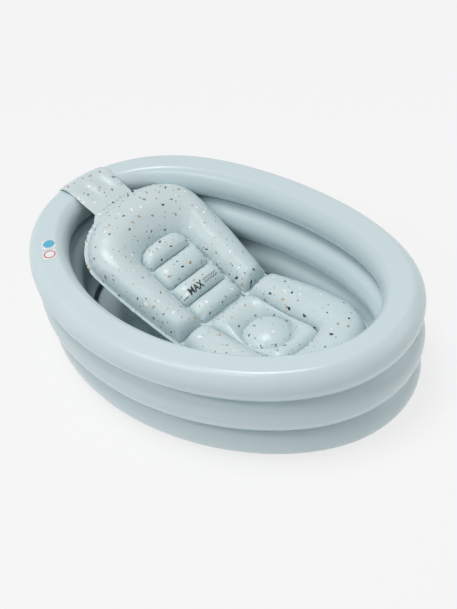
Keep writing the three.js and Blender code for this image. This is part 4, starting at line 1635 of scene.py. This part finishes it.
class Shaders:
    """Node groups that more than one finish uses, built once."""

    chip_colors: tuple[tuple[float, Color], ...] = (
        (0.0, srgb(58, 70, 78)),
        (0.14, srgb(172, 146, 116)),
        (0.34, srgb(255, 255, 254)),
        (0.56, srgb(136, 154, 158)),
        (0.70, srgb(196, 178, 150)),
        (0.90, srgb(44, 54, 62)),
    )
    chip_grey: Color = srgb(136, 152, 160)
    chip_sides: tuple[tuple[float, float], ...] = ((0.0, 1.0), (1.35, 0.62), (2.55, 0.85), (3.75, 0.9), (4.95, 0.55))

    def __init__(self) -> None:
        """Builds the groups."""
        self.film = self.film_group()
        self.chips = self.chip_group()

    @staticmethod
    def group(name: str, inputs: dict[str, object], outputs: Sequence[str]) -> tuple[Tree, Wiring, Sockets, Sockets]:
        """Makes an empty shader group with named sockets.

        Args:
            name: name of the group.
            inputs: default of each input: a number, a colour, or None for a vector.
            outputs: names of the outputs: Color is a colour and the others are numbers.

        Returns:
            The group, its wiring, what it is given and what it puts out.
        """
        tree = bpy.data.node_groups.new(name, "ShaderNodeTree")
        for label, default in inputs.items():
            kind = "Vector" if default is None else "Color" if isinstance(default, tuple) else "Float"
            socket = tree.interface.new_socket(label, in_out="INPUT", socket_type="NodeSocket" + kind)
            if default is not None:
                socket.default_value = default
        for label in outputs:
            kind = "Color" if label == "Color" else "Float"
            tree.interface.new_socket(label, in_out="OUTPUT", socket_type="NodeSocket" + kind)
        wires = Wiring(tree)
        return tree, wires, wires.node("NodeGroupInput").outputs, wires.node("NodeGroupOutput").inputs

    def film_group(self) -> Tree:
        """Cloudiness, gloss variation and fine grain of soft film."""
        tree, wires, given, result = self.group(
            "Soft film",
            {"Vector": None, "Color": (0.6, 0.7, 0.72, 1), "Cloud": 0.03, "Roughness": 0.4, "Grain": 0.1},
            ("Color", "Roughness", "Height"),
        )
        number, link = wires.number, wires.link

        def noise_at(scale: float, detail: float) -> Socket:
            """Noise from 0 to 1, with a scale in features a metre."""
            inputs = {"Vector": given["Vector"], "Scale": scale, "Detail": detail}
            return wires.node("ShaderNodeTexNoise", inputs).outputs[0]

        cloud = number("SUBTRACT", noise_at(9.0, 3.0), 0.5)
        shade = number("ADD", 1.0, number("MULTIPLY", cloud, number("MULTIPLY", given["Cloud"], 4.0)))
        tint = wires.node("ShaderNodeVectorMath", {0: given["Color"], "Scale": shade}, operation="SCALE")
        link(tint.outputs[0], result["Color"])
        smear = number("SUBTRACT", noise_at(38.0, 4.0), 0.5)
        link(number("ADD", given["Roughness"], number("MULTIPLY", smear, 0.06)), result["Roughness"])
        fine = number("MULTIPLY", noise_at(1500.0, 2.0), given["Grain"])
        link(number("ADD", fine, number("MULTIPLY", noise_at(24.0, 1.0), 0.9)), result["Height"])
        return tree

    def chip_group(self) -> Tree:
        """Scattered chips in plain colours, each an uneven polygon turned its own way, over a base colour."""
        tree, wires, given, result = self.group(
            "Scattered chips",
            {
                "Vector": None, "Base": (0.6, 0.7, 0.7, 1), "Cells": 50.0,
                "Smallest": 0.002, "Largest": 0.004, "Share": 0.6, "Greys": 0.0,
            },
            ("Color", "Mask"),
        )
        number, link = wires.number, wires.link

        def chance(value: Socket, spread: float) -> Socket:
            """Another random value from 0 to 1, drawn from one of the cell's own."""
            return number("FRACT", number("MULTIPLY", value, spread))

        inputs = {"Vector": given["Vector"], "Scale": given["Cells"], "Randomness": 0.86}
        cells = wires.node("ShaderNodeTexVoronoi", inputs, feature="F1", voronoi_dimensions="2D").outputs
        local = wires.node("ShaderNodeVectorMath", {0: given["Vector"], 1: cells["Position"]}, operation="SUBTRACT")
        x, y = wires.split(local.outputs[0])[:2]
        red, green, blue = wires.node("ShaderNodeSeparateColor", {0: cells["Color"]}).outputs[:3]
        spin = number("MULTIPLY", chance(red, 37.7), FULL_TURN)
        reach = None
        for index, (bearing, share) in enumerate(self.chip_sides):
            turned = number("ADD", spin, bearing)
            swept = number("MULTIPLY", x, number("COSINE", turned))
            along = number("ADD", swept, number("MULTIPLY", y, number("SINE", turned)))
            wobble = chance(green, 11.3 + 17.9 * index)
            side = number("DIVIDE", along, number("ADD", 0.62 * share, number("MULTIPLY", wobble, 0.48 * share)))
            reach = side if reach is None else number("MAXIMUM", reach, side)
        grow = chance(blue, 23.1)
        span = number("SUBTRACT", given["Largest"], given["Smallest"])
        size = number("ADD", given["Smallest"], number("MULTIPLY", span, number("MULTIPLY", grow, grow)))
        inside = number("LESS_THAN", reach, size)
        exists = number("LESS_THAN", red, given["Share"])
        mask = number("MULTIPLY", inside, exists)
        ramp_node = wires.node("ShaderNodeValToRGB", {0: blue})
        ramp_node.color_ramp.interpolation = "CONSTANT"
        stops = ramp_node.color_ramp.elements
        while len(stops) < len(self.chip_colors):
            stops.new(0.5)
        for stop, (where, color) in zip(stops, self.chip_colors):
            stop.position = where
            stop.color = (*color, 1)
        grey = wires.mixed(given["Greys"], ramp_node.outputs[0], (*self.chip_grey, 1))
        link(wires.mixed(mask, given["Base"], grey), result["Color"])
        link(mask, result["Mask"])
        return tree


@dataclass(frozen=True)
class ChipLayer:
    """One size of printed chips.

    Attributes:
        cells: cells a metre that may hold one.
        smallest: half the size of the smallest, in metres.
        largest: half the size of the largest.
        share: share of the cells that hold one.
        greys: from 0 for the full colours to 1 for plain grey.
    """

    cells: float
    smallest: float
    largest: float
    share: float
    greys: float


@dataclass(frozen=True)
class FilmFinish:
    """Soft welded film, plain or with a printed speckle.

    Attributes:
        name: name of the material.
        color: colour of the film.
        roughness: mean roughness.
        cloud: strength of its slow colour variation.
        grain: strength of its fine grain.
        bump: height of its grain in metres.
        layers: printed chips, largest first.
        bump_strength: share of the bump that shows.
    """

    name: str
    color: Color
    roughness: float
    cloud: float
    grain: float
    bump: float
    layers: tuple[ChipLayer, ...] = ()
    bump_strength: float = 0.35

    def build(self, shaders: Shaders) -> Material:
        """Builds the material.

        Args:
            shaders: the shared node groups.

        Returns:
            The material.
        """
        material, wires, surface, place = surface_material(self.name)
        look = {"Color": (*self.color, 1), "Cloud": self.cloud, "Roughness": self.roughness, "Grain": self.grain}
        film = wires.group(shaders.film, Vector=place, **look)
        color = film["Color"]
        printed = wires.node("ShaderNodeUVMap", uv_map="print").outputs[0] if self.layers else None
        for index, layer in enumerate(reversed(self.layers)):
            shift = {"Location": (0.37 * index + 1.1, 0.21 * index + 2.3, 0.0), "Rotation": (0, 0, 0.4 + 0.5 * index)}
            moved = wires.node("ShaderNodeMapping", {"Vector": printed, **shift}).outputs[0]
            chips = {name.title(): value for name, value in asdict(layer).items()}
            color = wires.group(shaders.chips, Vector=moved, Base=color, **chips)["Color"]
        bump = wires.bumped(film["Height"], self.bump_strength, self.bump)
        wires.feed(surface, {"Base Color": color, "Roughness": film["Roughness"], "Normal": bump, "IOR": 1.5})
        return material


@dataclass(frozen=True)
class FittingFinish:
    """Moulded or printed small pieces: milky plastic, hook-and-loop cloth or ink.

    Attributes:
        name: name of the material.
        color: its colour.
        roughness: mean roughness.
        scale: size of its texture, in features a metre.
        bump: height of its texture in metres.
        coat: strength of a clear coat.
        darkest: share of the colour left in the texture's darkest spots.
        smear: how far the roughness strays from its mean.
        bump_strength: share of the bump that shows.
    """

    name: str
    color: Color
    roughness: float
    scale: float
    bump: float
    coat: float = 0.0
    darkest: float = 0.82
    smear: float = 0.06
    bump_strength: float = 0.5

    def build(self) -> Material:
        """Builds the material."""
        material, wires, surface, place = surface_material(self.name)
        texture = wires.node("ShaderNodeTexNoise", {"Vector": place, "Scale": self.scale, "Detail": 3.0}).outputs[0]
        shades = wires.node("ShaderNodeValToRGB", {0: texture})
        dark, light = shades.color_ramp.elements
        dark.color, light.color = (*(self.darkest * value for value in self.color), 1), (*self.color, 1)
        dark.position, light.position = 0.25, 0.7
        spread = {"To Min": self.roughness - self.smear, "To Max": self.roughness + self.smear, "Value": texture}
        rough = wires.node("ShaderNodeMapRange", spread).outputs[0]
        wires.feed(surface, {"Base Color": shades.outputs[0], "Roughness": rough, "Coat Weight": self.coat})
        wires.feed(surface, {"Normal": wires.bumped(texture, self.bump_strength, self.bump)})
        return material


# Studio


@dataclass(frozen=True)
class AreaLamp:
    """A rectangular lamp whose long side runs between two places.

    Attributes:
        name: its name.
        start: one end, to the camera's right, away and up.
        end: the other end.
        width: length of its short side.
        power: its power in watts.
    """

    name: str
    start: Point
    end: Point
    width: float
    power: float


@dataclass
class Studio:
    """Pale floor, soft light and the camera at the photograph's angle.

    Attributes:
        target: the place that the camera would look at without the shifts.
        shift_right: how far it is moved to its right.
        backdrop: colour of the floor and of the sky behind it.
        floor_glow_share: share of the floor's look that takes no shadow.
        sky_strength: strength of the sky as a light.
        mirrored_sky_strength: strength of the sky in reflections.
        sun_from: where the sun stands, to the camera's right, away and up.
        aim_height: height of the place that the area lamps face.
    """

    azimuth: float = 48.136
    elevation: float = 40.294
    roll: float = -9.816
    distance: float = 2.8705
    target: Point = (0.0, 0.0, 0.1625)
    shift_right: float = 0.01376
    shift_up: float = -0.04703
    lens: float = 82.54
    sensor_height: float = 36.0
    backdrop: Color = field(default_factory=lambda: srgb(245, 245, 245))
    floor_reach: float = 14.0
    floor_drop: float = 0.0003
    floor_glow: float = 1.03
    floor_glow_share: float = 0.82
    sky_strength: float = 0.30
    mirrored_sky_strength: float = 0.80
    sun_strength: float = 1.38
    sun_angle: float = 24.0
    sun_from: Point = (-0.19, 0.05, 1.35)
    aim_height: float = 0.15
    lamps: tuple[AreaLamp, ...] = (
        AreaLamp("strip", (-0.45, -1.12, 2.00), (-2.0, -0.36, 1.62), 0.42, 9.2),
        AreaLamp("fill", (2.1, -1.1, 0.9), (2.1, 0.1, 0.9), 1.2, 4.2),
    )

    def from_camera(self, way: Point) -> Vector:
        """Turns distances to the camera's right, away from it and up into the row frame."""
        az = math.radians(self.azimuth)
        right = Vector((math.cos(az), math.sin(az), 0))
        away = Vector((-math.sin(az), math.cos(az), 0))
        return right * way[0] + away * way[1] + Vector((0, 0, way[2]))

    def build_camera(self) -> None:
        """Creates the camera and makes it the scene's."""
        az, el, roll = (math.radians(a) for a in (self.azimuth, self.elevation, self.roll))
        back = Vector((math.sin(az) * math.cos(el), -math.cos(az) * math.cos(el), math.sin(el)))
        right = self.from_camera((1, 0, 0))
        up = back.cross(right)
        tilted_right = right * math.cos(roll) + up * math.sin(roll)
        tilted_up = -right * math.sin(roll) + up * math.cos(roll)
        place = Vector(self.target) + back * self.distance + right * self.shift_right + up * self.shift_up
        data = bpy.data.cameras.new("camera")
        data.sensor_fit = "VERTICAL"
        data.sensor_height = self.sensor_height
        data.lens = self.lens
        camera = linked("camera", data)
        rotation = Matrix((tilted_right, tilted_up, back)).transposed().to_4x4()
        camera.matrix_world = Matrix.Translation(place) @ rotation
        bpy.context.scene.camera = camera

    def build_floor(self) -> None:
        """Creates the floor, whose shadow is thinned for the camera."""
        mesh = bpy.data.meshes.new("floor")
        ends = [(x * self.floor_reach, y * self.floor_reach) for x, y in ((-1, -1), (1, -1), (1, 1), (-1, 1))]
        mesh.from_pydata([(x, y, -self.floor_drop) for x, y in ends], [], [(0, 1, 2, 3)])
        floor = linked("floor", mesh)
        material = bpy.data.materials.new("pale floor")
        material.use_nodes = True
        material.node_tree.nodes.clear()
        wires = Wiring(material.node_tree)
        rays = wires.node("ShaderNodeLightPath").outputs
        color = (*self.backdrop, 1)
        diffuse = wires.node("ShaderNodeBsdfDiffuse", {"Color": color})
        glow = wires.node("ShaderNodeEmission", {"Color": color, "Strength": self.floor_glow})
        seen = wires.number("MAXIMUM", rays["Is Camera Ray"], rays["Is Glossy Ray"])
        share = wires.number("MULTIPLY", seen, self.floor_glow_share)
        mix = wires.node("ShaderNodeMixShader", {0: share, 1: diffuse.outputs[0], 2: glow.outputs[0]})
        wires.node("ShaderNodeOutputMaterial", {0: mix.outputs[0]})
        mesh.materials.append(material)
        floor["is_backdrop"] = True

    def build_sky(self) -> None:
        """Creates the even sky: brighter in reflections, plain for the camera."""
        world = bpy.data.worlds.new("studio")
        bpy.context.scene.world = world
        world.use_nodes = True
        world.node_tree.nodes.clear()
        wires = Wiring(world.node_tree)
        rays = wires.node("ShaderNodeLightPath").outputs
        span = {"To Min": self.sky_strength, "To Max": self.mirrored_sky_strength, "Value": rays["Is Glossy Ray"]}
        bright = wires.node("ShaderNodeMapRange", span).outputs[0]
        sky = wires.node("ShaderNodeBackground", {"Color": (1, 1, 1, 1), "Strength": bright}).outputs[0]
        seen_sky = wires.node("ShaderNodeBackground", {"Color": (*self.backdrop, 1)}).outputs[0]
        mix = wires.node("ShaderNodeMixShader", {0: rays["Is Camera Ray"], 1: sky, 2: seen_sky})
        wires.node("ShaderNodeOutputWorld", {0: mix.outputs[0]})

    def build_lamps(self) -> None:
        """Creates the soft sun overhead and the area lamps that gloss the rings."""
        key = bpy.data.lights.new("key", "SUN")
        key.energy = self.sun_strength
        key.angle = math.radians(self.sun_angle)
        toward_sun = self.from_camera(self.sun_from).normalized()
        linked("key", key).rotation_euler = toward_sun.to_track_quat("Z", "Y").to_euler()
        for lamp in self.lamps:
            start, end = self.from_camera(lamp.start), self.from_camera(lamp.end)
            area = bpy.data.lights.new(lamp.name, "AREA")
            area.shape = "RECTANGLE"
            area.size, area.size_y = (end - start).length, lamp.width
            area.energy = lamp.power
            place = (start + end) / 2
            back = (place - Vector((0, 0, self.aim_height))).normalized()
            over = back.cross((end - start).normalized()).normalized()
            turned = Matrix((over.cross(back), over, back)).transposed().to_4x4()
            linked(lamp.name, area).matrix_world = Matrix.Translation(place) @ turned

    def build(self) -> None:
        """Creates the camera, the floor and the lights, and shows colours as they are written."""
        self.build_camera()
        self.build_floor()
        self.build_sky()
        self.build_lamps()
        bpy.context.scene.view_settings.view_transform = "Standard"


# The bath


@dataclass
class BabyBath:
    """Builds and dresses all pieces of the bath.

    Attributes:
        frame: the loaded frame.
        wall: the wall of rings.
    """

    frame: dict
    wall: RingWall = field(default_factory=RingWall)

    def finish_piece(self, piece: Piece, material: Material, body: Body, slot: Slot, nodes: Sequence[str] = ()) -> None:
        """Gives a piece its material and body, and hides the CAD nodes that it stands for.

        Args:
            piece: the piece.
            material: its finish.
            body: the body that it rides on.
            slot: its material slot in the record; not used.
            nodes: CAD nodes that it replaces.
        """
        piece.data.materials.clear()
        piece.data.materials.append(material)
        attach(piece, body.value)
        if nodes:
            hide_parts(*nodes)
        LOG.info("%s: %d faces on %s", piece.name, len(piece.data.polygons), body.value)

    def dress_node(self, name: str, material: Material) -> None:
        """Gives a CAD node a better finish."""
        node = self.frame["nodes"][name]
        node.data.materials.clear()
        node.data.materials.append(material)
        LOG.info("%s: dressed", name)

    def build_tub(self, film: Material) -> None:
        """Builds the rings and the floor mat."""
        tree = self.wall.tree()
        for index, ring in enumerate(self.wall.rings):
            made = self.wall.build_ring(ring, tree, film, 3.7 * (index + 1))
            self.finish_piece(made, film, Body.TUB, Slot.FILM, [ring.name])
        mat = FloorMat(self.wall).build()
        self.finish_piece(mat, film, Body.TUB, Slot.FILM, ["floor_mat"])

    def dress_part(self, part: BackRest | SeatPart, speckled: Material) -> None:
        """Builds and dresses one part of the insert, its air chambers and its welded film alike.

        Args:
            part: the backrest or the seat.
            speckled: finish of its film.
        """
        for node, piece in part.build().items():
            self.finish_piece(piece, speckled, part.body, Slot.SPECKLED, [node])

    def build_insert(self, speckled: Material, ink: Material) -> BackRest:
        """Builds the backrest, the seat and the film over the crease between them.

        Args:
            speckled: finish of their film.
            ink: finish of the level mark.

        Returns:
            The backrest, for the strap.
        """
        back, seat = BackRest(self.wall), SeatPart(self.wall)
        self.dress_part(back, speckled)
        self.finish_piece(back.build_level_mark(), ink, back.body, Slot.SPECKLED)
        self.dress_part(seat, speckled)
        crease = CreaseFilm(seat, back)
        strip = crease.build()
        strip.data.materials.append(speckled)
        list(crease.ends())
        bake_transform(strip)
        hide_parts("crease_bead")
        LOG.info("%s: %d faces across the crease", strip.name, len(strip.data.polygons))
        return back

    def build_strap(self, back: BackRest, speckled: Material, patch: Material) -> None:
        """Builds the strap and its two patches.

        Args:
            back: the backrest that carries it.
            speckled: finish of its film.
            patch: finish of the patches.
        """
        strap = Strap(self.wall, back)
        band = strap.build()
        self.finish_piece(band, speckled, Body.STRAP, Slot.SPECKLED, ["strap"])
        strap.flat_size()
        hooks = strap.build_patch("hook_patch", 0.0004, 0.0010, 0.1)
        self.finish_piece(hooks, patch, Body.TUB, Slot.PATCH, ["ring_hook_patch"])
        loops = strap.build_patch("loop_patch", 0.0012, 0.0018, 0.12)
        self.finish_piece(loops, patch, Body.STRAP, Slot.PATCH, ["strap_loop_patch"])

    def build_marks(self, white: Material, blue: Material, red: Material) -> None:
        """Builds the two plain marks on the top ring: white squares, one with a disc and one with a ring."""
        bpy.context.view_layer.update()
        skin = BVHTree.FromObject(bpy.data.objects["top_ring_skin"], bpy.context.evaluated_depsgraph_get())
        for name, place, color, hollow in (
            ("blue_mark", (225.5, 99.0), blue, 0.02),
            ("red_mark", (231.2, 96.0), red, 0.80),
        ):
            label = self.wall.build_mark(name + "_label", skin, place, 0.0150, 9.0, 0.0003)
            self.finish_piece(label, white, Body.TUB, Slot.FILM)
            disc = self.wall.build_mark(name, skin, place, 0.0128, 2.0, 0.0005, hollow)
            self.finish_piece(disc, color, Body.TUB, Slot.FILM)

    def build(self) -> None:
        """Builds everything."""
        shaders = Shaders()
        film = FilmFinish("pale blue film", srgb(211, 228, 232), 0.235, 0.012, 0.25, 0.0003).build(shaders)
        speckle = (
            ChipLayer(50.0, 0.0028, 0.0056, 0.52, 0.0),
            ChipLayer(70.0, 0.0014, 0.0026, 0.30, 0.2),
            ChipLayer(150.0, 0.0005, 0.0009, 0.34, 0.8),
        )
        bare = FilmFinish("plain insert film", srgb(212, 227, 229), 0.302, 0.015, 0.25, 0.0003)
        plain = bare.build(shaders)
        speckled = replace(bare, name="speckled film", layers=speckle).build(shaders)
        clear = FittingFinish("milky valve plastic", srgb(226, 234, 234), 0.25, 120.0, 0.0001, 0.4).build()
        patch = FittingFinish("hook and loop cloth", srgb(222, 230, 229), 0.85, 900.0, 0.00012).build()
        ink = FittingFinish("dark print", srgb(52, 58, 62), 0.5, 300.0, 0.00003).build()
        white, blue, red = (
            FittingFinish(name, srgb(*color), 0.45, 300.0, 0.00003).build()
            for name, color in (
                ("white print", (253, 254, 255)),
                ("blue print", (96, 190, 222)),
                ("red print", (214, 84, 92)),
            )
        )

        self.build_tub(film)
        back = self.build_insert(speckled, ink)
        self.build_strap(back, speckled, patch)
        self.build_marks(white, blue, red)
        for name in ("upper_weld_band", "lower_weld_band", "floor_sheet"):
            self.dress_node(name, film)
        self.dress_node("dome_weld_ring", plain)
        for name in self.frame["nodes"]:
            if "valve" in name or name.startswith("drain"):
                self.dress_node(name, clear)


def main() -> None:
    """Builds the scene."""
    logging.basicConfig(level=logging.INFO, format="%(name)s: %(message)s")
    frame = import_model()
    cad_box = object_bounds()
    Studio().build()
    BabyBath(frame).build()
    visual_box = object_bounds()
    sizes = {
        "cad": [list(map(float, corner)) for corner in cad_box],
        "visual": [list(map(float, corner)) for corner in visual_box],
    }
    LOG.info("cad box %s, visual box %s", sizes["cad"], sizes["visual"])


if __name__ == "__main__":
    main()
